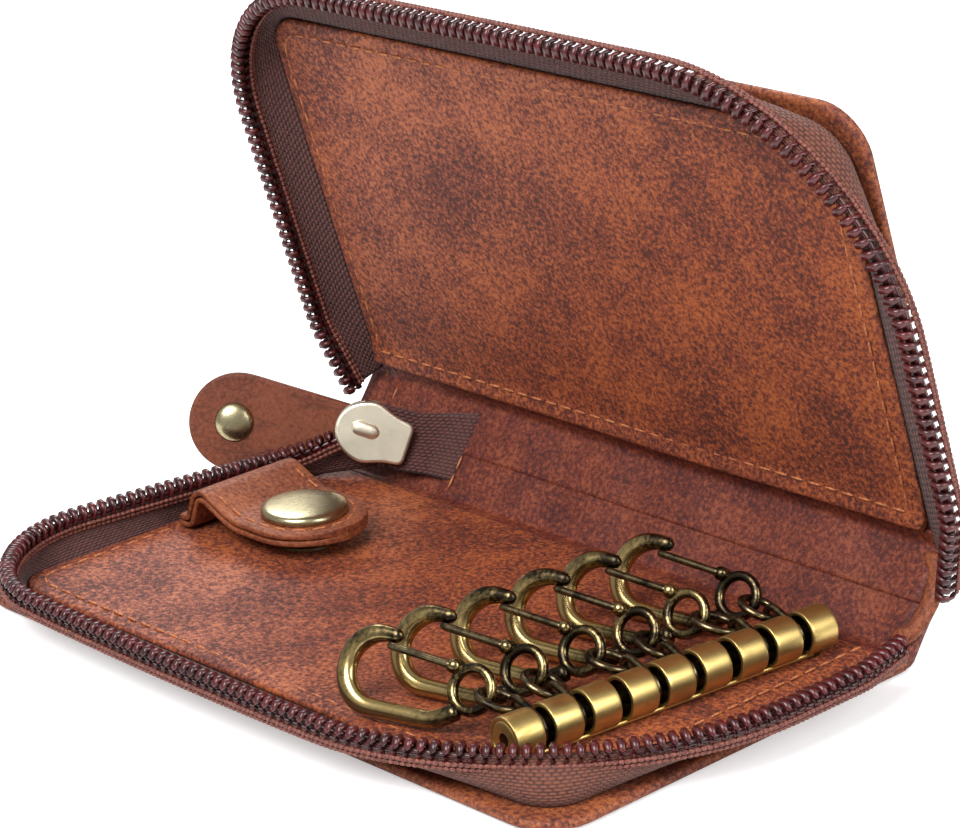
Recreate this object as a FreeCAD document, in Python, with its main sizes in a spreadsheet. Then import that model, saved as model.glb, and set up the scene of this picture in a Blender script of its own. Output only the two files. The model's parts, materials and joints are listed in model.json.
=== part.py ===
import FreeCAD, Part

import math
import os
import re
from types import SimpleNamespace

import Sketcher
from FreeCAD import Placement, Rotation, Vector

# A zip-around leather key case, opened like a book.
# Origin: middle of the lower cover's underside. X runs along the spine, Y towards the spine, Z up.
# Each half is drawn in its own frame: x along the spine, v from the fold to the free edge,
# w from the outer face inwards.

DOC = FreeCAD.newDocument("key_case")
SHEET = DOC.addObject("Spreadsheet::Sheet", "Sizes")

# Driving dimensions in millimetres, angles in degrees
SIZES = [
    # Leather covers
    ("cover_length", "114"),
    ("cover_width", "65"),
    ("cover_corner", "7"),
    ("leather", "1.6"),
    ("leather_round", "0.5"),
    # Linings
    ("lining", "1.2"),
    ("lining_inset", "4.6"),
    ("lining_corner", "8"),
    ("lining_hem", "2.4"),
    # Spine between the two folds
    ("spine_width", "15.9"),
    ("spine_end_inset", "0.8"),
    ("spine_lining", "0.8"),
    ("spine_lining_margin", "1.8"),
    ("spine_lining_start", "24"),
    ("fold_gap", "0.1"),
    ("opening_angle", "73.3"),
    # Zip tape and coil round three sides of each half
    ("tape_thick", "0.7"),
    ("tape_inset", "3.6"),
    ("tape_foot_corner", "5.4"),
    ("rim_corner", "18"),
    ("rim_flare", "7.2"),
    ("rim_shift", "1.7"),
    ("rim_draw", "6.5"),
    ("coil_height", "1.9"),
    ("coil_width", "2.2"),
    ("coil_core", "0.8"),
    ("tooth_pitch", "1.6"),
    ("tooth_width", "0.9"),
    ("rim_gap", "0.8"),
    ("zip_slider_end", "17"),
    ("zip_tab_end", "24"),
    ("zip_far_end", "5"),
    # Zip slider at the start of the chain
    ("slider_end_inset", "13.3"),
    ("slider_fold_inset", "3"),
    ("slider_z", "9.7"),
    ("slider_turn", "40.8"),
    ("slider_pitch", "20.5"),
    ("slider_tilt", "15.7"),
    ("slider_length", "11.3"),
    ("slider_shoulder", "9.3"),
    ("slider_waist", "6.6"),
    ("slider_tail", "6.4"),
    ("slider_plate", "1"),
    ("slider_channel", "2"),
    ("slider_post", "1.8"),
    ("slider_lip", "0.5"),
    ("bail_pin_radius", "0.55"),
    ("bail_reach", "1.8"),
    ("bail_half_height", "4.1"),
    ("end_tape_back", "6.1"),
    ("end_tape_front", "1.4"),
    ("end_tape_height", "6"),
    # Leather pull tab
    ("pull_length", "20"),
    ("pull_radius", "7.4"),
    ("pull_neck", "2.9"),
    ("pull_thick", "1.7"),
    ("pull_drop", "15.2"),
    ("pull_clearance", "0.2"),
    ("pull_rivet_radius", "3.7"),
    ("pull_rivet_dome", "0.9"),
    ("rivet_edge_share", "0.35"),
    ("rivet_shoulder_share", "0.5"),
    ("rivet_rise_share", "0.9"),
    ("pull_rivet_place", "21.6"),
    # Snap strap
    ("strap_y", "7.4"),
    ("strap_width", "17.5"),
    ("strap_thick", "2"),
    ("strap_end_inset", "7.1"),
    ("strap_rise_run", "2"),
    ("strap_crest_run", "4.1"),
    ("strap_crest", "5.6"),
    ("strap_level_run", "11.4"),
    ("strap_run", "26.3"),
    ("strap_seat", "0.3"),
    ("strap_foot_bend", "1.15"),
    ("strap_crest_bend", "1.9"),
    ("strap_level_bend", "9"),
    ("snap_run", "17.3"),
    ("snap_stack", "2.3"),
    ("snap_cap_radius", "6.2"),
    ("snap_cap_height", "1.5"),
    ("snap_cap_rim", "0.6"),
    ("snap_shank_radius", "1.1"),
    ("snap_socket_radius", "4.6"),
    ("snap_socket_height", "1.6"),
    ("snap_post_radius", "1.5"),
    ("snap_post_clearance", "0.4"),
    ("snap_base", "0.4"),
    ("cap_shoulder_share", "0.85"),
    ("socket_mouth_share", "0.7"),
    ("post_waist_share", "0.8"),
    ("post_tip_share", "0.6"),
    ("post_bulge_share", "0.7"),
    ("post_top_share", "0.9"),
    # Slotted key bar
    ("bar_end_inset", "12.6"),
    ("bar_y", "0.9"),
    ("bar_yaw", "6.9"),
    ("bar_length", "51.5"),
    ("bar_radius", "3"),
    ("bar_wall", "0.6"),
    ("bar_web", "0.8"),
    ("slot_pitch", "5.9"),
    ("slot_width", "1.7"),
    ("axle_radius", "0.9"),
    ("bar_rivet_radius", "1.4"),
    ("bar_rivet_inset", "2.6"),
    ("bar_rivet_depth", "1"),
    # Wire loop, ring and snap hook
    ("loop_radius", "1.55"),
    ("loop_wire", "0.5"),
    ("loop_span", "4"),
    ("ring_wire", "0.55"),
    ("ring_play", "0.4"),
    ("hook_rest_gap", "0.2"),
    ("eye_reach", "9.8"),
    ("eye_hole", "2.1"),
    ("eye_rim", "1.25"),
    ("eye_thick", "1.3"),
    ("hook_thick", "2"),
    ("hook_strand", "1.1"),
    ("hook_bow", "4.7"),
    ("hook_bow_place", "13.6"),
    ("hook_shoulder_place", "4.4"),
    ("hook_nose_place", "12"),
    ("gate_pivot_place", "2.9"),
    ("gate_pivot_height", "2.4"),
    ("gate_lug_radius", "1.1"),
    ("gate_lug_thick", "1"),
    ("gate_pin_clearance", "0.1"),
    ("gate_wire", "0.4"),
    ("gate_half_width", "1.05"),
    ("gate_nose_gap", "0.15"),
    # Overrun of cuts past the face they leave
    ("overrun", "1"),
]

# Counts, and each hook's slot with the place of its eye as shares of the reach and of the slots' spacing
SLOT_COUNT = 8
WIRE_SIDES = 8
RING_SIDES = 16
BEND_STEPS = 8
HOOK_SLOTS = [0, 1, 3, 4, 6, 7]
HOOK_REACH_SHARES = [0.99, 1.02, 1, 0.99, 1.02, 1]
HOOK_DRIFT_SHARES = [0.43, 0.03, 0.51, 0.03, 0.6, 0.15]
# How each hook points along the bar, and how steeply it lies, in degrees
HOOK_YAWS = [22, 21, 20, 20, 19, 18]
HOOK_LIES = [60, 61, 60, 61, 60, 61]

X_AXIS = Vector(1, 0, 0)
Y_AXIS = Vector(0, 1, 0)
Z_AXIS = Vector(0, 0, 1)
ORIGIN = Vector(0, 0, 0)


def fill_sheet():
    """Write every driving dimension to the sheet and return them as numbers."""
    numbers = {}
    for row, (name, text) in enumerate(SIZES, start=1):
        SHEET.set("A%d" % row, name)
        SHEET.set("B%d" % row, text)
        SHEET.setAlias("B%d" % row, name)
        numbers[name] = float(text)
    DOC.recompute()
    return SimpleNamespace(**numbers)


size = fill_sheet()
PARTS = []


def bound(text):
    """Turn a sum of size names into an expression on the sheet."""
    names = {name for name, _ in SIZES}

    def cell(match):
        word = match.group(0)
        return "Sizes." + word if word in names else word

    return re.sub(r"[a-z_]+", cell, text)


def bind(thing, **places):
    """Bind properties of an object to sums of sheet sizes."""
    for place, text in places.items():
        thing.setExpression(place.replace("__", "."), bound(text))


def keep(thing, label, placement=None):
    """Register a sub-part under its label, at its place."""
    thing.Label = label
    if placement is not None:
        thing.Placement = placement
    PARTS.append(thing)
    return thing


def made(shape, label, placement=None):
    """Register a shape worked out from the sizes as a sub-part."""
    feature = DOC.addObject("Part::Feature", label)
    feature.Shape = shape
    return keep(feature, label, placement)


def plane_of(body, role):
    """Find one of a body's own origin planes by its role."""
    return [plane for plane in body.Origin.OriginFeatures if plane.Role == role][0]


def new_sketch(body, name, role):
    """Attach an empty sketch to one of a body's origin planes."""
    sketch = body.newObject("Sketcher::SketchObject", name)
    sketch.AttachmentSupport = [(plane_of(body, role), "")]
    sketch.MapMode = "FlatFace"
    return sketch


def draw_polygon(sketch, points):
    """Draw a closed outline whose corners are sums of sheet sizes."""
    count = len(points)
    start = sketch.GeometryCount
    turn = 2 * math.pi / count
    rough = [Vector(math.cos(turn * k), math.sin(turn * k), 0) * size.cover_width for k in range(count)]
    for k in range(count):
        sketch.addGeometry(Part.LineSegment(rough[k], rough[(k + 1) % count]), False)
    for k in range(count):
        sketch.addConstraint(Sketcher.Constraint("Coincident", start + k, 2, start + (k + 1) % count, 1))
    for k, place in enumerate(points):
        for kind, text, now in zip(("DistanceX", "DistanceY"), place, (rough[k].x, rough[k].y)):
            index = sketch.addConstraint(Sketcher.Constraint(kind, -1, 1, start + k, 1, now))
            sketch.setExpression("Constraints[%d]" % index, bound(text))


def add_pad(body, sketch, length, middle=False):
    """Raise a sketch into a solid."""
    pad = body.newObject("PartDesign::Pad", sketch.Name + "_pad")
    pad.Profile = sketch
    pad.Midplane = middle
    bind(pad, Length=length)
    DOC.recompute()
    return pad


def add_fillet(body, base, radius, wanted):
    """Round those edges of a feature that a test picks by their two ends."""
    names = []
    for number, edge in enumerate(base.Shape.Edges, start=1):
        ends = [vertex.Point for vertex in edge.Vertexes]
        if len(ends) == 2 and wanted(ends[0], ends[1]):
            names.append("Edge%d" % number)
    fillet = body.newObject("PartDesign::Fillet", base.Name + "_fillet")
    fillet.Base = (base, names)
    bind(fillet, Radius=radius)
    DOC.recompute()
    return fillet


def add_revolution(body, sketch):
    """Turn a sketch on the XZ plane about the Z axis."""
    turned = body.newObject("PartDesign::Revolution", sketch.Name + "_turned")
    turned.Profile = sketch
    turned.ReferenceAxis = (sketch, ["V_Axis"])
    DOC.recompute()
    return turned


def new_body(label, placement=None):
    """Start a sub-part that is built up from features."""
    return keep(DOC.addObject("PartDesign::Body", label), label, placement)


def turned_body(label, points, placement):
    """A round piece: an outline of radius and height turned about Z."""
    body = new_body(label, placement)
    sketch = new_sketch(body, label + "_profile", "XZ_Plane")
    draw_polygon(sketch, points)
    add_revolution(body, sketch)
    return body


# Places shared by the pieces
HALF_LEAN = size.opening_angle / 2
COVER_EDGE = size.leather / 2 + size.fold_gap
FOLD_Y = size.cover_width / 2 + COVER_EDGE
LOWER_FOLD = Vector(0, FOLD_Y, size.leather / 2)
LEAN = math.radians(HALF_LEAN)
UPPER_FOLD = LOWER_FOLD + Vector(0, math.sin(LEAN), math.cos(LEAN)) * size.spine_width
LINING_TOP = size.leather + size.lining
RIM_TOP = (size.spine_width + size.leather - size.rim_gap) / 2
FREE_EDGE = COVER_EDGE + size.cover_width


def half_placement(fold, turn_x, turn_z):
    """Carry a half's frame to its place, with its fold line on the fold axis."""
    rotation = Rotation(X_AXIS, turn_x).multiply(Rotation(Z_AXIS, turn_z))
    return Placement(fold - rotation.multVec(Vector(0, 0, size.leather / 2)), rotation)


LOWER = half_placement(LOWER_FOLD, 0, 180)
UPPER = half_placement(UPPER_FOLD, 180 - size.opening_angle, 0)


def upright(a, b):
    """An edge that runs along w."""
    return abs(a.x - b.x) + abs(a.y - b.y) < size.fold_gap


def cover_panel(label, placement):
    """Leather panel with two round corners and a rubbed outer edge."""
    body = new_body(label, placement)
    sketch = new_sketch(body, label + "_outline", "XY_Plane")
    edge = "leather / 2 + fold_gap"
    far = edge + " + cover_width"
    half = "cover_length / 2"
    draw_polygon(sketch, [("-" + half, edge), (half, edge), (half, far), ("-" + half, far)])
    pad = add_pad(body, sketch, "leather")
    corners = add_fillet(body, pad, "cover_corner", lambda a, b: upright(a, b) and a.y > size.cover_width / 2)
    near = COVER_EDGE + size.fold_gap
    add_fillet(body, corners, "leather_round", lambda a, b: a.z == b.z and max(a.y, b.y) > near)
    return body


def lining_panel(label, placement):
    """Leather lining that lies inside the foot of the zip tape."""
    body = new_body(label, placement)
    sketch = new_sketch(body, label + "_outline", "XY_Plane")
    near = "leather / 2 + fold_gap + lining_hem"
    far = "leather / 2 + fold_gap + cover_width - lining_inset"
    half = "(cover_length / 2 - lining_inset)"
    draw_polygon(sketch, [("-" + half, near), (half, near), (half, far), ("-" + half, far)])
    pad = add_pad(body, sketch, "lining")
    add_fillet(body, pad, "lining_corner", lambda a, b: upright(a, b) and a.y > size.cover_width / 2)
    lift = placement.Rotation.multVec(Vector(0, 0, size.leather))
    body.Placement = Placement(placement.Base + lift, placement.Rotation)
    return body


def foot_line(near_minus, near_plus):
    """Line round three sides where the tape leaves the cover, with the v of its two ends."""
    side = size.cover_length / 2 - size.tape_inset
    front = FREE_EDGE - size.tape_inset
    return SimpleNamespace(
        minus=Vector(-side, near_minus, size.leather),
        left=Vector(-side, front, size.leather),
        right=Vector(side, front, size.leather),
        plus=Vector(side, near_plus, size.leather),
        corner=size.tape_foot_corner,
    )


def rim_line(foot, shift, draw_minus, draw_plus):
    """Line of the teeth: the foot line spread outwards, moved along x and drawn in at its ends."""
    spread = size.rim_flare
    rise = RIM_TOP - size.coil_height - size.leather
    return SimpleNamespace(
        minus=foot.minus + Vector(shift - spread + draw_minus, 0, rise),
        left=foot.left + Vector(shift - spread, spread, rise),
        right=foot.right + Vector(shift + spread, spread, rise),
        plus=foot.plus + Vector(shift + spread - draw_plus, 0, rise),
        corner=size.rim_corner,
    )


def side_edges(line, out):
    """Edges of a line round three sides, moved outwards."""
    corners = [
        line.minus + Vector(-out, 0, 0),
        line.left + Vector(-out, out, 0),
        line.right + Vector(out, out, 0),
        line.plus + Vector(out, 0, 0),
    ]
    return rounded_edges(corners, [line.corner + out] * 2)


def strip_wire(line, width):
    """Closed outline of a strip that follows a line round three sides."""
    outer = side_edges(line, width / 2)
    inner = side_edges(line, -width / 2)
    start = Part.LineSegment(inner[0].Vertexes[0].Point, outer[0].Vertexes[0].Point).toShape()
    end = Part.LineSegment(outer[-1].Vertexes[-1].Point, inner[-1].Vertexes[-1].Point).toShape()
    return Part.Wire([start] + outer + [end] + list(reversed(inner)))


def zip_tape(label, placement, foot, rim):
    """Woven tape that spreads outwards from the cover up to the teeth."""
    rise = rim.left.z - foot.left.z
    width = size.tape_thick * math.hypot(rise, size.rim_flare) / rise
    strips = [strip_wire(foot, width), strip_wire(rim, width)]
    return made(Part.makeLoft(strips, True, True), label, placement)


def along(edges, distance):
    """Point and outward direction at a distance along a chain of edges."""
    for edge in edges:
        if distance <= edge.Length or edge is edges[-1]:
            break
        distance -= edge.Length
    place = edge.getParameterByLength(min(distance, edge.Length))
    tangent = edge.tangentAt(place)
    return edge.valueAt(place), Vector(-tangent.y, tangent.x, 0)


def zip_coil(label, placement, rim, phase):
    """Core along the top of the tape, with a row of teeth that stand on it."""
    core = Part.Face(strip_wire(rim, size.coil_width)).extrude(Vector(0, 0, size.coil_core))
    middle = side_edges(rim, 0)
    length = sum(edge.Length for edge in middle)
    reach = size.coil_width / 2
    lift = Vector(0, 0, size.coil_core)
    tall = Vector(0, 0, size.coil_height - size.coil_core)
    teeth = []
    centre = size.tooth_pitch * phase
    while centre < length - size.tooth_width:
        corners = []
        for step, side in ((-1, -1), (-1, 1), (1, 1), (1, -1), (-1, -1)):
            point, outward = along(middle, centre + step * size.tooth_width / 2)
            corners.append(point + outward * (side * reach) + lift)
        teeth.append(Part.Face(Part.makePolygon(corners)).extrude(tall))
        centre += size.tooth_pitch
    return made(core.multiFuse(teeth), label, placement)


def spine_pieces():
    """Leather strip between the folds, with round edges on the fold lines, and its inner facing."""
    lean = Placement(LOWER_FOLD, Rotation(X_AXIS, -HALF_LEAN))
    half_length = size.cover_length / 2 - size.spine_end_inset
    slab = Part.makeBox(2 * half_length, size.leather, size.spine_width)
    slab.translate(Vector(-half_length, -size.leather / 2, 0))
    ends = []
    for height in (0, size.spine_width):
        at = Vector(-half_length, 0, height)
        ends.append(Part.makeCylinder(size.leather / 2, 2 * half_length, at, X_AXIS))
    made(slab.multiFuse(ends).removeSplitter(), "spine_leather", lean)
    body = new_body("spine_lining", lean)
    sketch = new_sketch(body, "spine_lining_outline", "XZ_Plane")
    low = "spine_lining_margin"
    high = "spine_width - spine_lining_margin"
    left = "spine_lining_start - cover_length / 2"
    right = "cover_length / 2 - spine_end_inset - spine_lining_margin"
    draw_polygon(sketch, [(left, low), (right, low), (right, high), (left, high)])
    add_pad(body, sketch, "spine_lining")
    body.Placement = Placement(lean.Base + lean.Rotation.multVec(Vector(0, -size.leather / 2, 0)), lean.Rotation)


def build_halves():
    """Covers, linings, tapes and coils of both halves, and the spine between them."""
    slider_end = size.zip_slider_end
    far_end = size.zip_far_end
    lower_foot = foot_line(far_end, slider_end)
    lower_rim = rim_line(lower_foot, -size.rim_shift, 0, size.rim_draw)
    upper_foot = foot_line(size.zip_tab_end, far_end)
    upper_rim = rim_line(upper_foot, size.rim_shift, 0, 0)
    phase_share = 0.5
    cover_panel("lower_cover", LOWER)
    lining_panel("lower_lining", LOWER)
    zip_tape("lower_zip_tape", LOWER, lower_foot, lower_rim)
    zip_coil("lower_zip_coil", LOWER, lower_rim, 1)
    cover_panel("upper_cover", UPPER)
    lining_panel("upper_lining", UPPER)
    zip_tape("upper_zip_tape", UPPER, upper_foot, upper_rim)
    zip_coil("upper_zip_coil", UPPER, upper_rim, 1 + phase_share)
    spine_pieces()


# Frame of the slider: x towards its nose, y towards the inside of the case, z across
SLIDER_TURN = Rotation(Z_AXIS, 180 + size.slider_turn)
SLIDER_TURN = SLIDER_TURN.multiply(Rotation(Y_AXIS, -size.slider_pitch))
SLIDER_TURN = SLIDER_TURN.multiply(Rotation(X_AXIS, size.slider_tilt))
SLIDER_X = size.slider_end_inset - size.cover_length / 2
SLIDER_Y = FOLD_Y - size.slider_fold_inset
SLIDER = Placement(Vector(SLIDER_X, SLIDER_Y, size.slider_z), SLIDER_TURN)


def shield_face(y):
    """Slider plate: a round nose, drawn-in sides and a square tail, in the slider's XZ plane."""
    nose = size.slider_length / 2
    shoulder = size.slider_shoulder / 2
    waist = size.slider_waist / 2
    tail = size.slider_tail / 2
    tail_x = -size.slider_length / 2
    waist_share = 0.55
    top = Vector(0, y, shoulder)
    low = Vector(0, y, -shoulder)
    edges = [
        Part.Arc(low, Vector(nose, y, 0), top).toShape(),
        Part.Arc(top, Vector(tail_x * waist_share, y, waist), Vector(tail_x, y, tail)).toShape(),
        Part.LineSegment(Vector(tail_x, y, tail), Vector(tail_x, y, -tail)).toShape(),
        Part.Arc(Vector(tail_x, y, -tail), Vector(tail_x * waist_share, y, -waist), low).toShape(),
    ]
    return Part.Face(Part.Wire(edges))


def build_slider():
    """Cast slider with two plates on a post, its wire bail, and the end of the joined tape."""
    gap = size.slider_channel / 2
    inner = shield_face(gap).extrude(Vector(0, size.slider_plate, 0))
    outer = shield_face(-gap).extrude(Vector(0, -size.slider_plate, 0))
    post_share = 0.5
    post_x = size.slider_length / 2 * post_share
    post = Part.makeCylinder(size.slider_post / 2, size.slider_channel, Vector(post_x, -gap, 0), Y_AXIS)
    lips = []
    lip_length = size.slider_length / 2 * post_share
    for sign in (-1, 1):
        lip = Part.makeBox(lip_length, size.slider_lip, size.slider_lip)
        middle = sign * (size.slider_waist - size.slider_lip) / 2
        lip.translate(Vector(-size.slider_length / 2, gap - size.slider_lip, middle - size.slider_lip / 2))
        lips.append(lip)
    made(inner.multiFuse([post, outer] + lips).removeSplitter(), "slider_body", SLIDER)
    build_bail(-gap - size.slider_plate)
    corner = Vector(-size.end_tape_back, -size.tape_thick / 2, -size.end_tape_height / 2)
    long = size.end_tape_back + size.end_tape_front
    made(Part.makeBox(long, size.tape_thick, size.end_tape_height, corner), "zip_end_tape", SLIDER)


def build_bail(face):
    """Wire bail on the slider's outer plate, whose upright pin carries the pull tab."""
    pin_y = face - size.bail_reach
    high = size.bail_half_height
    pin = Part.makeCylinder(size.bail_pin_radius, 2 * high, Vector(0, pin_y, -high), Z_AXIS)
    arms = []
    for sign in (-1, 1):
        at = Vector(0, pin_y, sign * high)
        arms.append(Part.makeCylinder(size.bail_pin_radius, size.bail_reach, at, Y_AXIS))
        arms.append(Part.makeSphere(size.bail_pin_radius, at))
    made(pin.multiFuse(arms).removeSplitter(), "slider_bail", SLIDER)


def build_pull():
    """Leather tab folded round the bail's pin and closed with a domed rivet."""
    gap = size.slider_channel / 2 + size.slider_plate
    place = Placement(SLIDER.multVec(Vector(0, -gap - size.bail_reach, 0)), SLIDER.Rotation)
    drop = Rotation(Y_AXIS, size.pull_drop)
    neck = size.pull_neck
    far = size.pull_length
    round_end = size.pull_radius
    lean = math.asin((round_end - neck) / far)
    sides = []
    for sign in (1, -1):
        slope = Vector(-math.sin(lean), 0, sign * math.cos(lean))
        sides.append((slope * neck, Vector(far, 0, 0) + slope * round_end))
    edges = [
        Part.LineSegment(sides[0][0], sides[0][1]).toShape(),
        Part.Arc(sides[0][1], Vector(far + round_end, 0, 0), sides[1][1]).toShape(),
        Part.LineSegment(sides[1][1], sides[1][0]).toShape(),
        Part.Arc(sides[1][0], Vector(-neck, 0, 0), sides[0][0]).toShape(),
    ]
    tab = Part.Face(Part.Wire(edges)).extrude(Vector(0, size.pull_thick, 0))
    tab.translate(Vector(0, -size.pull_thick / 2, 0))
    tab.rotate(ORIGIN, Y_AXIS, size.pull_drop)
    bore = size.bail_pin_radius + size.pull_clearance
    knuckle = bore + size.pull_thick / 2
    roll = Part.makeCylinder(knuckle, 2 * neck, Vector(0, 0, -neck), Z_AXIS)
    square = Part.makeBox(2 * knuckle, 2 * knuckle, 2 * neck + 2 * size.overrun)
    square.translate(Vector(-2 * knuckle, -knuckle, -neck - size.overrun))
    hole = Part.makeCylinder(bore, 2 * neck + 2 * size.overrun, Vector(0, 0, -neck - size.overrun), Z_AXIS)
    tab = tab.cut(square).fuse(roll).cut(hole).removeSplitter()
    made(tab, "pull_tab", place)
    at = drop.multVec(Vector(size.pull_rivet_place, size.pull_thick / 2, 0))
    turn_out = Rotation(Z_AXIS, Y_AXIS)
    rivet = Placement(place.multVec(at), place.Rotation.multiply(turn_out))
    points = [
        ("0", "0"),
        ("pull_rivet_radius", "0"),
        ("pull_rivet_radius", "pull_rivet_dome * rivet_edge_share"),
        ("pull_rivet_radius * rivet_shoulder_share", "pull_rivet_dome * rivet_rise_share"),
        ("0", "pull_rivet_dome"),
    ]
    turned_body("pull_rivet", points, rivet)


def rounded_edges(points, radii):
    """Edges through points, with a tangent arc of a given radius at each inner corner."""
    edges = []
    start = points[0]
    for before, corner, after, radius in zip(points, points[1:], points[2:], radii):
        back = (before - corner).normalize()
        ahead = (after - corner).normalize()
        half = back.getAngle(ahead) / 2
        run = radius / math.tan(half)
        middle = (back + ahead).normalize() * (radius / math.sin(half))
        into = corner + back * run
        away = corner + ahead * run
        mid = corner + middle - middle.normalize() * radius
        edges.append(Part.LineSegment(start, into).toShape())
        edges.append(Part.Arc(into, mid, away).toShape())
        start = away
    edges.append(Part.LineSegment(start, points[-1]).toShape())
    return edges


def build_strap():
    """Two layers of leather that arch up from the seam and carry the snap."""
    half = size.strap_thick / 2
    low = LINING_TOP + half + size.strap_seat
    level = LINING_TOP + size.snap_stack + half
    crest = LINING_TOP + size.strap_crest + half
    root_x = size.strap_end_inset - size.cover_length / 2
    tip_x = root_x + size.strap_run
    snap_x = root_x + size.snap_run
    corners = [
        Vector(root_x, size.strap_y, low),
        Vector(root_x + size.strap_rise_run, size.strap_y, low),
        Vector(root_x + size.strap_crest_run, size.strap_y, crest),
        Vector(root_x + size.strap_level_run, size.strap_y, level),
        Vector(tip_x, size.strap_y, level),
    ]
    radii = [size.strap_foot_bend, size.strap_crest_bend, size.strap_level_bend]
    path = Part.Wire(rounded_edges(corners, radii))
    wide = size.strap_width / 2
    section = Part.makePolygon([
        Vector(root_x, size.strap_y - wide, low - half),
        Vector(root_x, size.strap_y + wide, low - half),
        Vector(root_x, size.strap_y + wide, low + half),
        Vector(root_x, size.strap_y - wide, low + half),
        Vector(root_x, size.strap_y - wide, low - half),
    ])
    band = path.makePipeShell([section], True, False)
    plan_x = tip_x - wide
    height = crest + size.overrun
    plan = Part.makeBox(plan_x - root_x + size.overrun, size.strap_width, height)
    plan.translate(Vector(root_x - size.overrun, size.strap_y - wide, 0))
    tip = Part.makeCylinder(wide, height, Vector(plan_x, size.strap_y, 0))
    made(band.common(plan.fuse(tip)), "snap_strap")
    cap = Placement(Vector(snap_x, size.strap_y, level + half), Rotation())
    turned_body("snap_cap", [
        ("0", "-strap_thick"),
        ("snap_shank_radius", "-strap_thick"),
        ("snap_shank_radius", "0"),
        ("snap_cap_radius", "0"),
        ("snap_cap_radius", "snap_cap_rim"),
        ("snap_cap_radius - snap_cap_rim", "snap_cap_height * cap_shoulder_share"),
        ("0", "snap_cap_height"),
    ], cap)
    socket = Placement(Vector(snap_x, size.strap_y, level - half), Rotation())
    turned_body("snap_socket", [
        ("snap_post_radius + snap_post_clearance", "0"),
        ("snap_socket_radius", "0"),
        ("snap_socket_radius", "-snap_socket_height / 2"),
        ("snap_socket_radius * socket_mouth_share", "-snap_socket_height"),
        ("snap_post_radius + snap_post_clearance", "-snap_socket_height"),
    ], socket)
    stud = Placement(Vector(snap_x, size.strap_y, LINING_TOP), Rotation())
    turned_body("snap_stud", [
        ("0", "0"),
        ("snap_socket_radius", "0"),
        ("snap_socket_radius", "snap_base"),
        ("snap_post_radius * post_waist_share", "snap_base"),
        ("snap_post_radius", "snap_stack * post_bulge_share"),
        ("snap_post_radius * post_tip_share", "snap_stack * post_top_share"),
        ("0", "snap_stack * post_top_share"),
    ], stud)


# Frame of the key bar: y along the bar, x away from the hooks
BAR_Z = LINING_TOP + size.bar_radius + size.fold_gap
BAR_X = size.cover_length / 2 - size.bar_end_inset
BAR = Placement(Vector(BAR_X, size.bar_y, BAR_Z), Rotation(Z_AXIS, -size.bar_yaw))


def slot_place(slot):
    """Place along the bar of the middle of a slot."""
    return (slot - (SLOT_COUNT - 1) / 2) * size.slot_pitch


def tube_piece(from_y, length):
    """A length of the bar's tube."""
    start = Vector(0, from_y, 0)
    outer = Part.makeCylinder(size.bar_radius, length, start, Y_AXIS)
    return outer.cut(Part.makeCylinder(size.bar_radius - size.bar_wall, length, start, Y_AXIS))


def build_key_bar():
    """Slotted brass tube on two rivets, with the axle that the loops turn on."""
    start = Vector(0, -size.bar_length / 2, 0)
    reach = size.bar_radius + size.overrun
    floor = Part.makeBox(2 * reach, size.bar_length, size.bar_web + size.overrun)
    floor.translate(Vector(-reach, start.y, -reach))
    web = tube_piece(start.y, size.bar_length).common(floor)
    rings = []
    from_y = start.y
    for slot in range(SLOT_COUNT + 1):
        to_y = -start.y if slot == SLOT_COUNT else slot_place(slot) - size.slot_width / 2
        rings.append(tube_piece(from_y, to_y - from_y))
        from_y = to_y + size.slot_width
    made(web.multiFuse(rings), "key_bar_tube", BAR)
    axle = DOC.addObject("Part::Cylinder", "key_bar_axle")
    bind(axle, Radius="axle_radius", Height="bar_length")
    keep(axle, "key_bar_axle", BAR.multiply(Placement(start, Rotation(X_AXIS, -90))))
    caps = []
    for sign in (-1, 1):
        at = Vector(0, sign * (size.bar_length / 2 - size.bar_rivet_inset), -size.bar_radius)
        shank = Part.makeCylinder(size.bar_rivet_radius, size.bar_rivet_depth + size.bar_wall, at, Z_AXIS)
        shank.translate(Vector(0, 0, -size.bar_rivet_depth))
        caps.append(shank)
    made(Part.makeCompound(caps), "key_bar_rivets", BAR)


def half_turn(centre, start, middle, steps):
    """Points of a half circle about a centre, from one spoke through a second to the far side."""
    points = []
    for step in range(steps + 1):
        turn = math.pi * step / steps
        points.append(centre + start * math.cos(turn) + middle * math.sin(turn))
    return points


def mitres(points, normal, closed):
    """At each point of a flat path, the direction across it, long enough to mitre the corner."""
    found = []
    count = len(points)
    for k, point in enumerate(points):
        before = points[k - 1] if k > 0 or closed else None
        after = points[(k + 1) % count] if k < count - 1 or closed else None
        runs = [(point - before).normalize()] if before is not None else []
        runs += [(after - point).normalize()] if after is not None else []
        tangent = (runs[0] + runs[-1]).normalize()
        found.append(normal.cross(tangent) / tangent.dot(runs[0]))
    return found


def wire_solid(points, normal, radius, closed):
    """Round wire with few flat sides along a flat path."""
    rings = []
    for point, across in zip(points, mitres(points, normal, closed)):
        ring = []
        for side in range(WIRE_SIDES):
            turn = 2 * math.pi * side / WIRE_SIDES
            ring.append(point + across * (radius * math.cos(turn)) + normal * (radius * math.sin(turn)))
        rings.append(ring)
    outlines = []
    for k in range(len(rings) if closed else len(rings) - 1):
        ring = rings[k]
        after = rings[(k + 1) % len(rings)]
        for side in range(WIRE_SIDES):
            beside = (side + 1) % WIRE_SIDES
            outlines.append([ring[side], ring[beside], after[beside], after[side]])
    if not closed:
        outlines += [rings[0], rings[-1]]
    faces = [Part.Face(Part.makePolygon(outline + outline[:1])) for outline in outlines]
    return Part.Solid(Part.Shell(faces))


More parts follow.
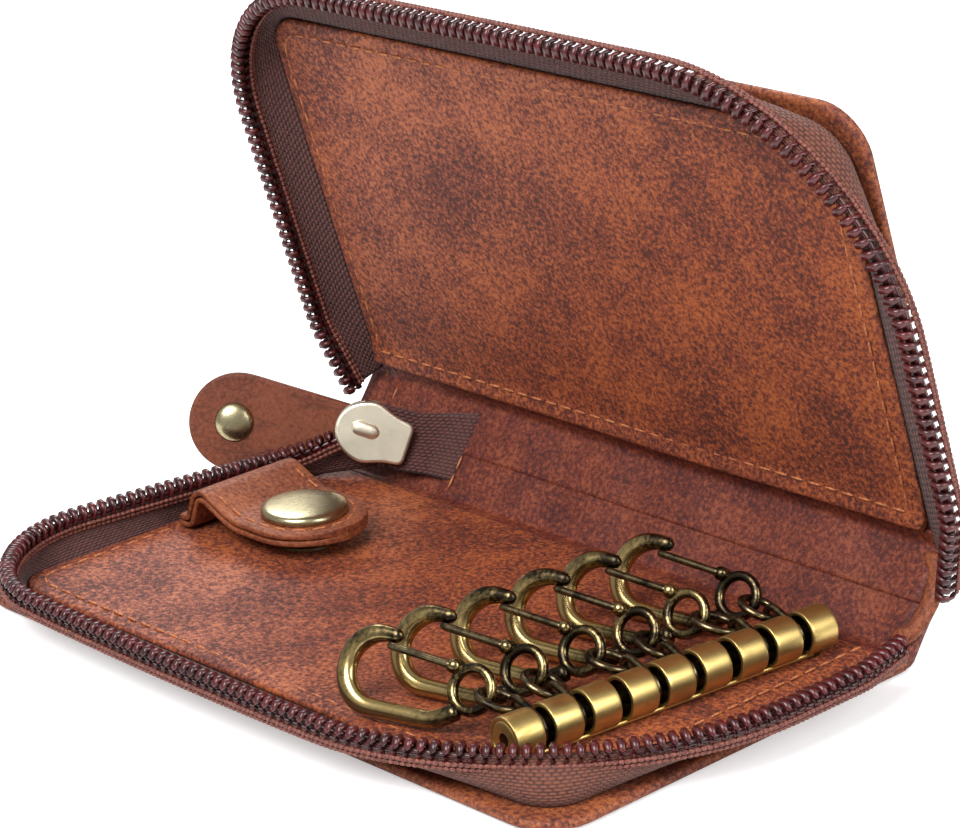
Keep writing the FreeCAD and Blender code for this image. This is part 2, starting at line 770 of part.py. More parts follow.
def hook_strand_face():
    """Bowed strand from the eye round to the nose, in the hook's plane."""
    bow = size.hook_bow
    place = size.hook_bow_place
    eye_side_share = 0.5
    eye_side = Vector(size.eye_hole * eye_side_share, -size.eye_hole - size.eye_rim / 2, 0)
    shoulder = Vector(size.hook_shoulder_place, -bow, 0)
    nose = Vector(size.hook_nose_place, bow, 0)
    line = [eye_side, shoulder]
    line += half_turn(Vector(place, 0, 0), Vector(0, -bow, 0), Vector(bow, 0, 0), 2 * BEND_STEPS)
    line.append(nose)
    across = [way * size.hook_strand for way in mitres(line, Z_AXIS, False)]
    left = [point + way for point, way in zip(line, across)]
    right = [point - way for point, way in zip(line, across)]
    outline = left + list(reversed(right))
    return Part.Face(Part.makePolygon(outline + outline[:1]))


def hook_body_shape():
    """Flat cast hook: eye plate, bowed strand, nose, and a thin lug for the gate's pin."""
    deep = Vector(0, 0, size.hook_thick)
    down = Vector(0, 0, -size.hook_thick / 2)
    strand = hook_strand_face().extrude(deep)
    strand.translate(down)
    eye_low = Vector(0, 0, -size.eye_thick / 2)
    eye = Part.makeCylinder(size.eye_hole + size.eye_rim, size.eye_thick, eye_low, Z_AXIS)
    pivot = Vector(size.gate_pivot_place, size.gate_pivot_height, -size.gate_lug_thick / 2)
    lug = Part.makeCylinder(size.gate_lug_radius, size.gate_lug_thick, pivot, Z_AXIS)
    web = Part.makeBox(pivot.Length, 2 * size.gate_lug_radius, size.gate_lug_thick)
    web.translate(Vector(0, -size.gate_lug_radius, -size.gate_lug_thick / 2))
    web.rotate(ORIGIN, Z_AXIS, math.degrees(math.atan2(pivot.y, pivot.x)))
    solid = strand.multiFuse([eye, lug, web])
    tall = size.hook_thick + 2 * size.overrun
    under = Vector(0, 0, -tall / 2)
    hole = Part.makeCylinder(size.eye_hole, tall, under, Z_AXIS)
    pin = size.gate_wire + size.gate_pin_clearance / 2
    bore = Part.makeCylinder(pin, tall, Vector(pivot.x, pivot.y, under.z), Z_AXIS)
    return solid.cut([hole, bore]).removeSplitter()


def hook_gate_shape():
    """Hairpin wire gate: two legs from the lug's pin, joined under the nose."""
    pivot = Vector(size.gate_pivot_place, size.gate_pivot_height, 0)
    tip_height = size.hook_bow - size.hook_strand - size.gate_wire - size.gate_nose_gap
    tip = Vector(size.hook_nose_place, tip_height, 0)
    side = Vector(0, 0, size.gate_half_width)
    ahead = (tip - pivot).normalize()
    root = pivot - ahead * size.gate_wire
    across = ahead.cross(side).normalize()
    legs = [root + side]
    legs += half_turn(tip, side, ahead * size.gate_half_width, BEND_STEPS)
    legs.append(root - side)
    wire = wire_solid(legs, across, size.gate_wire, False)
    pin_share = 0.85
    reach = size.gate_half_width
    pin = Part.makeCylinder(size.gate_wire * pin_share, 2 * reach, pivot - Vector(0, 0, reach), Z_AXIS)
    return wire.fuse(pin)


def hook_loop_shape():
    """Wire loop round the axle, drawn out towards the ring, in the bar's XZ plane."""
    radius = size.loop_radius
    span = Vector(-size.loop_span, 0, 0)
    up = Vector(0, 0, radius)
    out = Vector(radius, 0, 0)
    path = half_turn(ORIGIN, up, out, BEND_STEPS) + half_turn(span, -up, -out, BEND_STEPS)
    return wire_solid(path, Y_AXIS, size.loop_wire, True)


def ring_shape(radius):
    """Wire ring about Z."""
    points = []
    for step in range(RING_SIDES):
        turn = 2 * math.pi * step / RING_SIDES
        points.append(Vector(radius * math.cos(turn), radius * math.sin(turn), 0))
    return wire_solid(points, Z_AXIS, size.ring_wire, True)


def build_hook(number, slot):
    """One loop, ring, hook and gate, hung from a slot of the bar."""
    name = str(number + 1)
    slot_y = slot_place(slot)
    lie = math.radians(HOOK_LIES[number])
    yaw = math.radians(HOOK_YAWS[number])
    edge = (size.hook_bow + size.hook_strand) * math.sin(lie) + size.hook_thick / 2 * math.cos(lie)
    eye = Vector(
        -size.eye_reach * HOOK_REACH_SHARES[number],
        slot_y - size.slot_pitch * HOOK_DRIFT_SHARES[number],
        LINING_TOP + size.hook_rest_gap + edge - BAR_Z,
    )
    ahead = Vector(-math.cos(yaw), -math.sin(yaw), 0)
    aside = Vector(-math.sin(yaw), math.cos(yaw), 0)
    across = aside * math.cos(lie) + Z_AXIS * math.sin(lie)
    normal = ahead.cross(across)
    frame = BAR.multiply(Placement(eye, Rotation(ahead, across, normal, "XYZ")))
    made(hook_body_shape(), "hook_body_" + name, frame)
    made(hook_gate_shape(), "hook_gate_" + name, frame)
    play = size.ring_wire + size.ring_play
    seat = Vector(-size.loop_span - size.loop_radius + size.loop_wire + play, 0, 0)
    last = eye - ahead * (size.eye_hole - play)
    tilt = Rotation(Y_AXIS, math.degrees(math.atan2(last.z, -last.x)))
    at = Placement(Vector(0, slot_y, 0), tilt)
    made(hook_loop_shape(), "hook_loop_" + name, BAR.multiply(at))
    first = at.multVec(seat)
    span = last - first
    ring = ring_shape(span.Length / 2)
    way = normal + Y_AXIS
    side = way - span * (way.dot(span) / span.dot(span))
    place = Placement((first + last) / 2, Rotation(span, side, span.cross(side), "XYZ"))
    made(ring, "hook_ring_" + name, BAR.multiply(place))


def build_hooks():
    """Six hooks along the bar, each lying on its edge a little differently."""
    for number, slot in enumerate(HOOK_SLOTS):
        build_hook(number, slot)


def check_and_write():
    """Check every object and write each sub-part to its own file."""
    DOC.recompute()
    for thing in DOC.Objects:
        if "Invalid" in thing.State or "Error" in thing.State:
            raise RuntimeError("failed object: " + thing.Name)
    os.makedirs("parts", exist_ok=True)
    for thing in PARTS:
        shape = thing.Shape
        if shape.isNull() or not shape.isValid() or not shape.Solids:
            raise RuntimeError("bad shape: " + thing.Label)
        shape.exportStep(os.path.join("parts", thing.Label + ".step"))
        print(thing.Label, len(shape.Solids), round(shape.Volume, 2))


build_halves()
build_slider()
build_pull()
build_strap()
build_key_bar()
build_hooks()
check_and_write()
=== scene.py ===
"""Looks of an open zip-around leather key case with a slotted key bar and snap hooks."""

import json
import logging
import math
from dataclasses import dataclass
from enum import Enum
from typing import Callable, Optional, Sequence, Union

import bmesh
import bpy
import numpy as np
from mathutils import Matrix

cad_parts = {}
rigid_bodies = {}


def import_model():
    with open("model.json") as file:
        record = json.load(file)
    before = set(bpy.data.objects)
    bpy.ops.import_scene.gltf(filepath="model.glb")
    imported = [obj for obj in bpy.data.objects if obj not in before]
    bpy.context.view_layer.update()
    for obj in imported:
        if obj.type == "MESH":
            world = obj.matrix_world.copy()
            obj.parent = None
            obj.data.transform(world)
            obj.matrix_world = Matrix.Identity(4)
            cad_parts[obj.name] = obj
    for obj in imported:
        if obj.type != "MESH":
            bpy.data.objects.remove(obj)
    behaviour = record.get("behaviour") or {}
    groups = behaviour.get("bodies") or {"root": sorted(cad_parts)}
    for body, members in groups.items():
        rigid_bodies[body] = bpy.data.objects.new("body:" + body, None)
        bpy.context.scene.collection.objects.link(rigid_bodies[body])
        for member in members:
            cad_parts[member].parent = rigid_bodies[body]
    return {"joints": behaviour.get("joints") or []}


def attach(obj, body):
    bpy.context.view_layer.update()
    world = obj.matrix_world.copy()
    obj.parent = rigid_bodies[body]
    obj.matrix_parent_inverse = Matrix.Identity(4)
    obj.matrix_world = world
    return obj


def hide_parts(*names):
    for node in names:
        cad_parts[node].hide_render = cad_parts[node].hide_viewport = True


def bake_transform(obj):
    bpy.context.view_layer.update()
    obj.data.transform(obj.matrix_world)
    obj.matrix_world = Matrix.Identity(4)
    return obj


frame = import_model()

LOG = logging.getLogger("key_case")
MM = 0.001
Array = np.ndarray
Carry = Callable[[Array], Array]
Tree = bpy.types.NodeTree
Material = bpy.types.Material
ALONG, DEEP, UP = np.eye(3)
# Added to the map's second value on a sheet's outer skin, so that a finish can tell it from the inner one
# The tape's finish uses it to paint light on the outer skin and shade on the inner one
OUTSIDE = 60.0
HOOKS = 6


class Side(Enum):
    """Which half of the case a piece belongs to."""

    LOWER = "lower"
    UPPER = "upper"


class Cap(Enum):
    """How the two ends of a grid that closes round are shut."""

    OPEN = 0
    FACE = 1
    STRIP = 2


# Colour and node helpers


def linear(colour: Union[str, float]) -> tuple[float, float, float, float]:
    """Turn an sRGB hex value, or one linear grey, into linear colour.

    Args:
        colour: six hex digits with a leading hash, or the grey's value.

    Returns:
        Linear red, green, blue and full opacity.
    """
    if not isinstance(colour, str):
        return colour, colour, colour, 1.0
    parts = np.array([int(colour[k:k + 2], 16) for k in (1, 3, 5)]) / 255.0
    red, green, blue = np.where(parts <= 0.04045, parts / 12.92, ((parts + 0.055) / 1.055) ** 2.4)
    return float(red), float(green), float(blue), 1.0


def feed(made: bpy.types.Node, inputs: dict) -> None:
    """Link or set the inputs of a node.

    Args:
        made: the node.
        inputs: input name or number to a socket that feeds it, or to a plain value.
    """
    for name, value in inputs.items():
        if isinstance(value, bpy.types.NodeSocket):
            made.id_data.links.new(value, made.inputs[name])
        else:
            made.inputs[name].default_value = value


def node(tree: Tree, kind: str, inputs: Optional[dict] = None, out: Union[str, int] = 0,
         stops: Sequence = (), **settings) -> bpy.types.NodeSocket:
    """Add a shader node with its settings and links.

    Args:
        tree: the node tree it goes into.
        kind: Blender's node type, without its first words.
        inputs: what its inputs get.
        out: name or number of the output that is wanted.
        stops: a colour ramp's places from 0 to 1, each with a hex colour or a grey.
        settings: attributes of the node itself.

    Returns:
        The wanted output.
    """
    made = tree.nodes.new("ShaderNode" + kind)
    for name, value in settings.items():
        setattr(made, name, value)
    feed(made, inputs or {})
    if stops:
        elements = made.color_ramp.elements
        while len(elements) < len(stops):
            elements.new(1.0)
        for element, (place, colour) in zip(elements, stops):
            element.position = place
            element.color = linear(colour)
    return made.outputs[out]


# Finishes


@dataclass(frozen=True)
class Finish:
    """A named finish; each kind says in its pattern what feeds its shader."""

    name: str

    def build(self) -> Material:
        """Make the material: a Principled shader fed by the pattern.

        Returns:
            The material.
        """
        material = bpy.data.materials.new(self.name)
        material.use_nodes = True
        feed(material.node_tree.nodes["Principled BSDF"], self.pattern(material.node_tree))
        return material

    def pattern(self, tree: Tree) -> dict:
        """What goes into the shader, by the names of its inputs."""
        raise NotImplementedError


@dataclass(frozen=True)
class PullUpLeather(Finish):
    """Waxed pull-up cowhide, buffed by hand: rust and brown clouds broken up by dark and light speckle."""

    dark: str = "#41201b"
    mid: str = "#743624"
    light: str = "#a45a32"
    crease: str = "#341a15"
    cloud_mm: float = 15.0
    cloud: float = 0.42
    speckle_mm: float = 0.6
    speckle: float = 1.1
    spread: float = 0.2
    crackle: float = 0.0
    crease_mm: float = 5.0
    crease_stretch: tuple = (0.5, 0.5, 1.6)
    roughness: float = 0.6
    bump: float = 0.3
    grain_mm: float = 0.12

    def pattern(self, tree: Tree) -> dict:
        """Speckle and clouds are added up and read off one ramp; crackle adds broken dark crease lines.

        Args:
            tree: the material's nodes.

        Returns:
            The shader's inputs.
        """
        place = node(tree, "TexCoord", out="Object")
        clouds = node(tree, "TexNoise", {"Vector": place, "Scale": 1 / (self.cloud_mm * MM), "Detail": 5.0,
                                         "Roughness": 0.65})
        fine = node(tree, "TexNoise", {"Vector": place, "Scale": 1 / (self.speckle_mm * MM), "Detail": 4.0,
                                       "Roughness": 0.75})
        grain = node(tree, "Math", {0: fine, 1: self.speckle}, operation="MULTIPLY")
        total = node(tree, "Math", {0: clouds, 1: self.cloud, 2: grain}, operation="MULTIPLY_ADD")
        middle = 0.5 * (self.cloud + self.speckle)
        level = node(tree, "MapRange", {"Value": total, "From Min": middle - self.spread,
                                        "From Max": middle + self.spread})
        colour = node(tree, "ValToRGB", {"Fac": level},
                      stops=[(0.2, self.dark), (0.5, self.mid), (0.85, self.light)])
        if self.crackle > 0:
            flat = node(tree, "Mapping", {"Vector": place, "Scale": self.crease_stretch})
            size = self.crease_mm * MM
            lines = node(tree, "TexNoise", {"Vector": flat, "Scale": 1 / size, "Detail": 5.0})
            edge = node(tree, "ValToRGB", {"Fac": lines},
                        stops=[(0.475, 0.0), (0.5, self.crackle), (0.525, 0.0)])
            broken = node(tree, "ValToRGB", {"Fac": fine}, stops=[(0.42, 0.0), (0.55, 1.0)])
            crease = node(tree, "Math", {0: edge, 1: broken}, operation="MULTIPLY")
            mixed = {"Factor": crease, 6: colour, 7: linear(self.crease)}
            colour = node(tree, "Mix", mixed, 2, data_type="RGBA")
        rough = node(tree, "ValToRGB", {"Fac": level},
                     stops=[(0.2, self.roughness + 0.12), (0.8, self.roughness - 0.06)])
        bump = node(tree, "Bump", {"Strength": self.bump, "Distance": self.grain_mm * MM, "Height": total})
        return {"Base Color": colour, "Roughness": rough, "Normal": bump, "Specular IOR Level": 0.35}


@dataclass(frozen=True)
class WovenTape(Finish):
    """Woven polyester zip tape: short yarn floats laid like bricks, dull with a light fuzz, with painted
    light on its outer skin and painted shade on its inner one.
    """

    # dark and light colour the inner skin, darkened as painted shade; the outside pair is lighter as painted
    # light
    dark: str
    light: str
    lit_outside_dark: str
    lit_outside_light: str
    float_mm: float = 0.95
    row_mm: float = 0.52
    fuzz_mm: float = 0.9
    fuzz: float = 0.9
    bump: float = 0.9
    yarn_mm: float = 0.3

    def pattern(self, tree: Tree) -> dict:
        """Height is |sin| along a float times |sin| across a row, plus fuzz.

        Each row moves on by half a float. The piece's own map holds millimetres along and up the tape.

        Args:
            tree: the material's nodes.

        Returns:
            The shader's inputs.
        """
        spot = node(tree, "UVMap", uv_map="chart")
        along = node(tree, "SeparateXYZ", {0: spot}, "X")
        climb = node(tree, "SeparateXYZ", {0: spot}, "Y")
        row = node(tree, "Math", {0: climb, 1: 1 / self.row_mm}, operation="MULTIPLY")
        number = node(tree, "Math", {0: row}, operation="FLOOR")
        start = node(tree, "Math", {0: number, 1: 0.5}, operation="MULTIPLY")
        run = node(tree, "Math", {0: along, 1: 1 / self.float_mm, 2: start}, operation="MULTIPLY_ADD")
        humps = []
        for value in (run, row):
            turn = node(tree, "Math", {0: value, 1: math.pi}, operation="MULTIPLY")
            wave = node(tree, "Math", {0: turn}, operation="SINE")
            humps.append(node(tree, "Math", {0: wave}, operation="ABSOLUTE"))
        weave = node(tree, "Math", {0: humps[0], 1: humps[1]}, operation="MULTIPLY")
        place = node(tree, "TexCoord", out="Object")
        uneven = node(tree, "TexNoise", {"Vector": place, "Scale": 1 / (self.fuzz_mm * MM), "Detail": 4.0})
        height = node(tree, "Math", {0: uneven, 1: self.fuzz, 2: weave}, operation="MULTIPLY_ADD")
        level = node(tree, "MapRange", {"Value": height, "From Min": 0.25, "From Max": 1.4})
        # The inner skin gets the darker ramp as painted shade, the outer skin the lighter one as painted
        # light
        skins = [node(tree, "ValToRGB", {"Fac": level}, stops=[(0.1, dark), (0.75, light)])
                 for dark, light in ((self.dark, self.light), (self.lit_outside_dark, self.lit_outside_light))]
        outer = node(tree, "Math", {0: climb, 1: OUTSIDE / 2}, operation="GREATER_THAN")
        colour = node(tree, "Mix", {"Factor": outer, 6: skins[0], 7: skins[1]}, 2, data_type="RGBA")
        bump = node(tree, "Bump", {"Strength": self.bump, "Distance": self.yarn_mm * MM, "Height": height})
        return {"Base Color": colour, "Normal": bump, "Roughness": 0.85, "Sheen Weight": 0.1,
                "Sheen Roughness": 0.5}


@dataclass(frozen=True)
class MouldedNylon(Finish):
    """Glossy nylon zip teeth, dark burgundy, which catch small bright lights."""

    dark: str = "#2c0a0d"
    light: str = "#551a1c"
    change_mm: float = 2.2
    ior: float = 1.53

    def pattern(self, tree: Tree) -> dict:
        """Even dark plastic with a slight change from tooth to tooth.

        Args:
            tree: the material's nodes.

        Returns:
            The shader's inputs.
        """
        place = node(tree, "TexCoord", out="Object")
        change = node(tree, "TexNoise", {"Vector": place, "Scale": 1 / (self.change_mm * MM), "Detail": 2.0})
        colour = node(tree, "ValToRGB", {"Fac": change}, stops=[(0.3, self.dark), (0.7, self.light)])
        return {"Base Color": colour, "Roughness": 0.3, "IOR": self.ior}


@dataclass(frozen=True)
class AgedBrass(Finish):
    """Plated or cast brass: a warm metal with dark tarnish in clouds and fine scratches."""

    bright: str
    tarnish: str
    tarnish_share: float
    roughness: float
    cloud_mm: float = 5.0
    scratch_mm: float = 0.5
    scratch_stretch: tuple = (1.0, 0.25, 1.0)
    scratch_share: float = 0.35
    soft: float = 0.12
    bump: float = 0.06
    scratch_depth_mm: float = 0.1
    # When set, the map's second value is read: rubbed wear, and on a hook a painted highlight on its upper
    # face
    worn: bool = False

    def pattern(self, tree: Tree) -> dict:
        """Tarnish follows clouds and fine scratches, and on worn pieces also the map's second value: its
        rubbed places, and a hook's upper face lightened as a painted highlight.

        Args:
            tree: the material's nodes.

        Returns:
            The shader's inputs.
        """
        place = node(tree, "TexCoord", out="Object")
        clouds = node(tree, "TexNoise", {"Vector": place, "Scale": 1 / (self.cloud_mm * MM), "Detail": 4.0,
                                         "Distortion": 0.6})
        long = node(tree, "Mapping", {"Vector": place, "Scale": self.scratch_stretch})
        fine = node(tree, "TexNoise", {"Vector": long, "Scale": 1 / (self.scratch_mm * MM), "Detail": 4.0})
        level = node(tree, "Mix", {"Factor": self.scratch_share, 2: clouds, 3: fine})
        if self.worn:
            rubbed = node(tree, "SeparateXYZ", {0: node(tree, "UVMap", uv_map="chart")}, "Y")
            level = node(tree, "Math", {0: rubbed, 1: level}, operation="ADD")
        low, high = max(0.0, self.tarnish_share - self.soft), self.tarnish_share + self.soft
        colour = node(tree, "ValToRGB", {"Fac": level}, stops=[(low, self.tarnish), (high, self.bright)])
        rough = node(tree, "ValToRGB", {"Fac": level},
                     stops=[(0.3, self.roughness + 0.12), (0.7, self.roughness - 0.04)])
        depth = self.scratch_depth_mm * MM
        bump = node(tree, "Bump", {"Strength": self.bump, "Distance": depth, "Height": fine})
        return {"Base Color": colour, "Metallic": 1.0, "Roughness": rough, "Normal": bump}


@dataclass(frozen=True)
class SewingThread(Finish):
    """Bonded polyester thread with the twist of its plies."""

    dark: str = "#864523"
    light: str = "#bd7647"
    twist_mm: float = 0.35
    ply_mm: float = 0.08

    def pattern(self, tree: Tree) -> dict:
        """Fine noise stands for the twist, drawn coarser than it is so that it shows.

        Args:
            tree: the material's nodes.

        Returns:
            The shader's inputs.
        """
        place = node(tree, "TexCoord", out="Object")
        twist = node(tree, "TexNoise", {"Vector": place, "Scale": 1 / (self.twist_mm * MM), "Detail": 2.0})
        colour = node(tree, "ValToRGB", {"Fac": twist}, stops=[(0.35, self.dark), (0.65, self.light)])
        bump = node(tree, "Bump", {"Strength": 0.4, "Distance": self.ply_mm * MM, "Height": twist})
        return {"Base Color": colour, "Normal": bump, "Roughness": 0.6}


@dataclass(frozen=True)
class WhitePaper(Finish):
    """Matt white paper of the studio floor, which takes the object's shadow."""

    shade: float = 0.8
    glow: float = 0.42

    def pattern(self, tree: Tree) -> dict:
        """The paper glows for what the camera sees, straight or in metal, so that it shows white there.

        Args:
            tree: the material's nodes.

        Returns:
            The shader's inputs.
        """
        seen = node(tree, "LightPath", out="Is Camera Ray")
        for kind in ("Is Glossy Ray", "Is Transmission Ray"):
            seen = node(tree, "Math", {0: seen, 1: node(tree, "LightPath", out=kind)}, operation="MAXIMUM")
        glow = node(tree, "Math", {0: seen, 1: self.glow}, operation="MULTIPLY")
        return {"Base Color": linear(self.shade), "Roughness": 0.9, "Specular IOR Level": 0.1,
                "Emission Color": linear(1.0), "Emission Strength": glow}


class Finishes:
    """Every finish of the case, built once."""

    def __init__(self) -> None:
        """Build the materials."""
        self.cover = PullUpLeather("waxed_pull_up_leather_cover", "#45211a", "#743924", "#96562f").build()
        self.lining = PullUpLeather("buffed_pull_up_leather_lining").build()
        self.spine = PullUpLeather("buffed_leather_spine", "#3a1616", "#602619", "#85452c",
                                   cloud_mm=8.0, speckle=0.85).build()
        self.strap = PullUpLeather("waxed_leather_strap", "#4a2115", "#763b21", "#935432",
                                   speckle=0.8, bump=0.5).build()
        self.tab = PullUpLeather("creased_leather_pull_tab", "#452016", "#6e3722", "#84492e",
                                 speckle=0.5, crackle=0.8).build()
        # The tape's outer skin is painted lighter and its inner skin darker, as painted light and shade
        self.tape = WovenTape("woven_zip_tape", "#2a1413", "#613530", "#381914", "#76412f").build()
        self.coil = MouldedNylon("moulded_nylon_zip_teeth").build()
        self.thread = SewingThread("bonded_sewing_thread").build()
        self.zip_thread = SewingThread("zip_sewing_thread", "#4a211d", "#834a3b").build()
        self.slider = AgedBrass("plated_slider_brass", "#f0e8d2", "#a89f7c", 0.28, 0.36).build()
        self.bar = AgedBrass("brushed_bar_brass", "#cfb471", "#8f7541", 0.36, 0.34, cloud_mm=7.0).build()
        # The axle's brass is made very dark as painted shade, so that the bar's slots show dark; it also
        # colours the bar's liner
        self.axle = AgedBrass("tarnished_axle_brass", "#4a3b22", "#1b1612", 0.5, 0.45).build()
        # The hook's map adds a painted highlight on its upper face to the rubbed wear
        self.hook = AgedBrass("antique_cast_brass_hook", "#b39c69", "#332c22", 0.80, 0.27,
                              cloud_mm=6.0, bump=0.02, worn=True).build()
        self.link = AgedBrass("tarnished_brass_wire", "#857658", "#2b2620", 0.52, 0.27, cloud_mm=2.5).build()
        self.snap = AgedBrass("aged_snap_brass", "#b0a582", "#746a4e", 0.40, 0.24,
                              cloud_mm=7.0, bump=0.02).build()


# Mesh helpers


@dataclass
class Surface:
    """Points in millimetres with faces, and a map in millimetres where a pattern follows the surface."""

    points: Array
    faces: list
    chart: Optional[Array] = None

    @staticmethod
    def grid(points: Array, close_rows: bool = False, close_cols: bool = False, cap: Cap = Cap.OPEN,
             chart: Optional[Array] = None) -> "Surface":
        """Surface of a grid of points, shaped rows by cols by 3, with a quad between each four neighbours.

        Args:
            points: the grid.
            close_rows: join the last row to the first.
            close_cols: join the last column to the first.
            cap: how the first and last row are shut.
            chart: two map values for each point of the grid.

        Returns:
            The surface.
        """
        rows, cols = points.shape[:2]
        a, b = np.meshgrid(np.arange(rows if close_rows else rows - 1),
                           np.arange(cols if close_cols else cols - 1), indexing="ij")
        a2, b2 = (a + 1) % rows, (b + 1) % cols
        quads = np.stack([a * cols + b, a2 * cols + b, a2 * cols + b2, a * cols + b2], axis=-1)
        faces = quads.reshape(-1, 4).tolist()
        last = (rows - 1) * cols
        if cap is Cap.FACE:
            faces.append(list(range(cols))[::-1])
            faces.append(list(range(last, last + cols)))
        if cap is Cap.STRIP:
            k = np.arange(cols // 2 - 1)
            strip = np.stack([k, k + 1, cols - 2 - k, cols - 1 - k], axis=1)
            faces.extend(strip.tolist())
            faces.extend((strip[:, ::-1] + last).tolist())
        return Surface(points.reshape(-1, 3), faces, None if chart is None else chart.reshape(-1, 2))

    @staticmethod
    def sheet(middle: Array, out: Array, thick: float, chart: Optional[Array] = None) -> "Surface":
        """Thin solid about a grid of points: the points moved out and in by half the thickness.

        Args:
            middle: rows by cols by 3 points.
            out: direction out of the sheet at each point.
            thick: thickness in millimetres.
            chart: two map values for each point.

        Returns:
            The closed sheet.
        """
        skins = np.concatenate([middle + out * thick / 2, (middle - out * thick / 2)[:, ::-1]], axis=1)
        if chart is not None:
            chart = np.concatenate([chart + np.array([0, OUTSIDE]), chart[:, ::-1]], axis=1)
        return Surface.grid(skins, close_cols=True, cap=Cap.STRIP, chart=chart)

    @staticmethod
    def join(parts: Sequence["Surface"]) -> "Surface":
        """One surface of several.

        Args:
            parts: the surfaces, all with a map or all without.

        Returns:
            The joined surface.
        """
        starts = np.cumsum([0] + [len(part.points) for part in parts])
        faces = [[k + start for k in face] for part, start in zip(parts, starts) for face in part.faces]
        chart = None if parts[0].chart is None else np.concatenate([part.chart for part in parts])
        return Surface(np.concatenate([part.points for part in parts]), faces, chart)

    def moved(self, carry: Carry) -> "Surface":
        """The surface with its points carried elsewhere."""
        return Surface(carry(self.points), self.faces, self.chart)

    def copies(self, origins: Array, frames: Array) -> "Surface":
        """Copies at many places, each point being origin + frame times point.

        Args:
            origins: n by 3.
            frames: n by 3 by 3, whose columns are the copy's axes.

        Returns:
            All copies as one surface.
        """
        points = origins[:, None, :] + np.einsum("nij,pj->npi", frames, self.points)
        faces: list = []
        for size in sorted({len(face) for face in self.faces}):
            block = np.array([face for face in self.faces if len(face) == size])
            block = block[None] + (np.arange(len(origins)) * len(self.points))[:, None, None]
            faces.extend(block.reshape(-1, size).tolist())
        return Surface(points.reshape(-1, 3), faces)


@dataclass(frozen=True)
class Bend:
    """How a soft piece turns from its own body to a second one, between two points in millimetres."""

    body: str
    start: Array
    end: Array


def add_piece(name: str, surface: Surface, material: Material, body: str, replaces: Sequence[str] = (),
              bend: Optional[Bend] = None) -> None:
    """Put a surface into the scene as one piece of the object.

    Args:
        name: the piece's name.
        surface: its points and faces in millimetres.
        material: its finish.
        body: the body it rides on.
        replaces: nodes that it stands for.
        bend: for a piece that bends across a joint; such a piece is left where it is on no body, and the
            bend's body and points are not used.
    """
    mesh = bpy.data.meshes.new(name)
    mesh.from_pydata((surface.points * MM).tolist(), [], surface.faces)
    if surface.chart is not None:
        layer = mesh.uv_layers.new(name="chart")
        corners = np.empty(len(mesh.loops), dtype=np.int64)
        mesh.loops.foreach_get("vertex_index", corners)
        layer.data.foreach_set("uv", surface.chart[corners].astype(np.float32).ravel())
    work = bmesh.new()
    work.from_mesh(mesh)
    bmesh.ops.recalc_face_normals(work, faces=work.faces)
    work.to_mesh(mesh)
    work.free()
    mesh.polygons.foreach_set("use_smooth", np.ones(len(mesh.polygons), dtype=bool))
    mesh.materials.append(material)
    piece = bpy.data.objects.new(name, mesh)
    bpy.context.scene.collection.objects.link(piece)
    if bend is None:
        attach(piece, body)
    else:
        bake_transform(piece)
    if replaces:
        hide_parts(*replaces)
    LOG.info("%s: %d points on %s", name, len(mesh.vertices), body)


def unit(vectors: Array) -> Array:
    """Vectors brought to length one."""
    return vectors / np.linalg.norm(vectors, axis=-1, keepdims=True)


def circle(count: int, radius: float = 1.0) -> Array:
    """Points of a circle, count by 2."""
    turn = np.linspace(0, 2 * np.pi, count, endpoint=False)
    return np.stack([np.cos(turn), np.sin(turn)], axis=1) * radius


def arc(radius: float, start: float, end: float, count: int) -> Array:
    """Points of an arc about the origin, both ends among them, count by 2."""
    turn = np.linspace(start, end, count)
    return np.stack([np.cos(turn), np.sin(turn)], axis=1) * radius


def squarish(count: int, wide: float, thick: float, power: float = 0.55) -> Array:
    """Section between an oval and a box: cos and sin raised to a power below one, with their signs."""
    ring = circle(count)
    return np.sign(ring) * np.abs(ring) ** power * np.array([wide, thick])


def lengths(line: Array) -> Array:
    """Distance along a line of points, from zero at its first point."""
    return np.concatenate([[0.0], np.cumsum(np.linalg.norm(np.diff(line, axis=0), axis=1))])


def at_places(line: Array, places: Array) -> Array:
    """Points at given distances along a line of points."""
    along = lengths(line)
    return np.stack([np.interp(places, along, line[:, k]) for k in range(line.shape[1])], axis=1)


def even(line: Array, step: float) -> Array:
    """Points at an even spacing along a line of points."""
    total = lengths(line)[-1]
    return at_places(line, np.linspace(0, total, max(2, int(round(total / step)) + 1)))


def smoothed(loop: Array, step: float, reach: int) -> Array:
    """Closed loop at an even spacing, each point being the mean of its neighbours up to reach steps away."""
    loop = even(loop, step)[:-1]
    return sum(np.roll(loop, k, axis=0) for k in range(-reach, reach + 1)) / (2 * reach + 1)


def rounded_line(corners: Sequence, radii: Sequence[float], step: float) -> Array:
    """Line through corners with a round arc at each inner corner, as evenly spaced points.

    Each arc is tangent to both runs: it starts radius / tan(half angle) before the corner.

    Args:
        corners: points, each of three numbers.
        radii: one radius for each inner corner.
        step: spacing of the points.

    Returns:
        Points along the line.
    """
    corners = np.array(corners, dtype=float)
    share = np.linspace(0, 1, 16)[:, None]
    runs = [corners[:1]]
    for before, corner, after, radius in zip(corners, corners[1:], corners[2:], radii):
        back, ahead = unit(before - corner), unit(after - corner)
        half = math.acos(float(np.clip(back @ ahead, -1, 1))) / 2
        middle = corner + unit(back + ahead) * (radius / math.sin(half))
        first = corner + back * (radius / math.tan(half)) - middle
        last = corner + ahead * (radius / math.tan(half)) - middle
        runs.append(unit(first * (1 - share) + last * share) * radius + middle)
    runs.append(corners[-1:])
    return even(np.concatenate(runs), step)


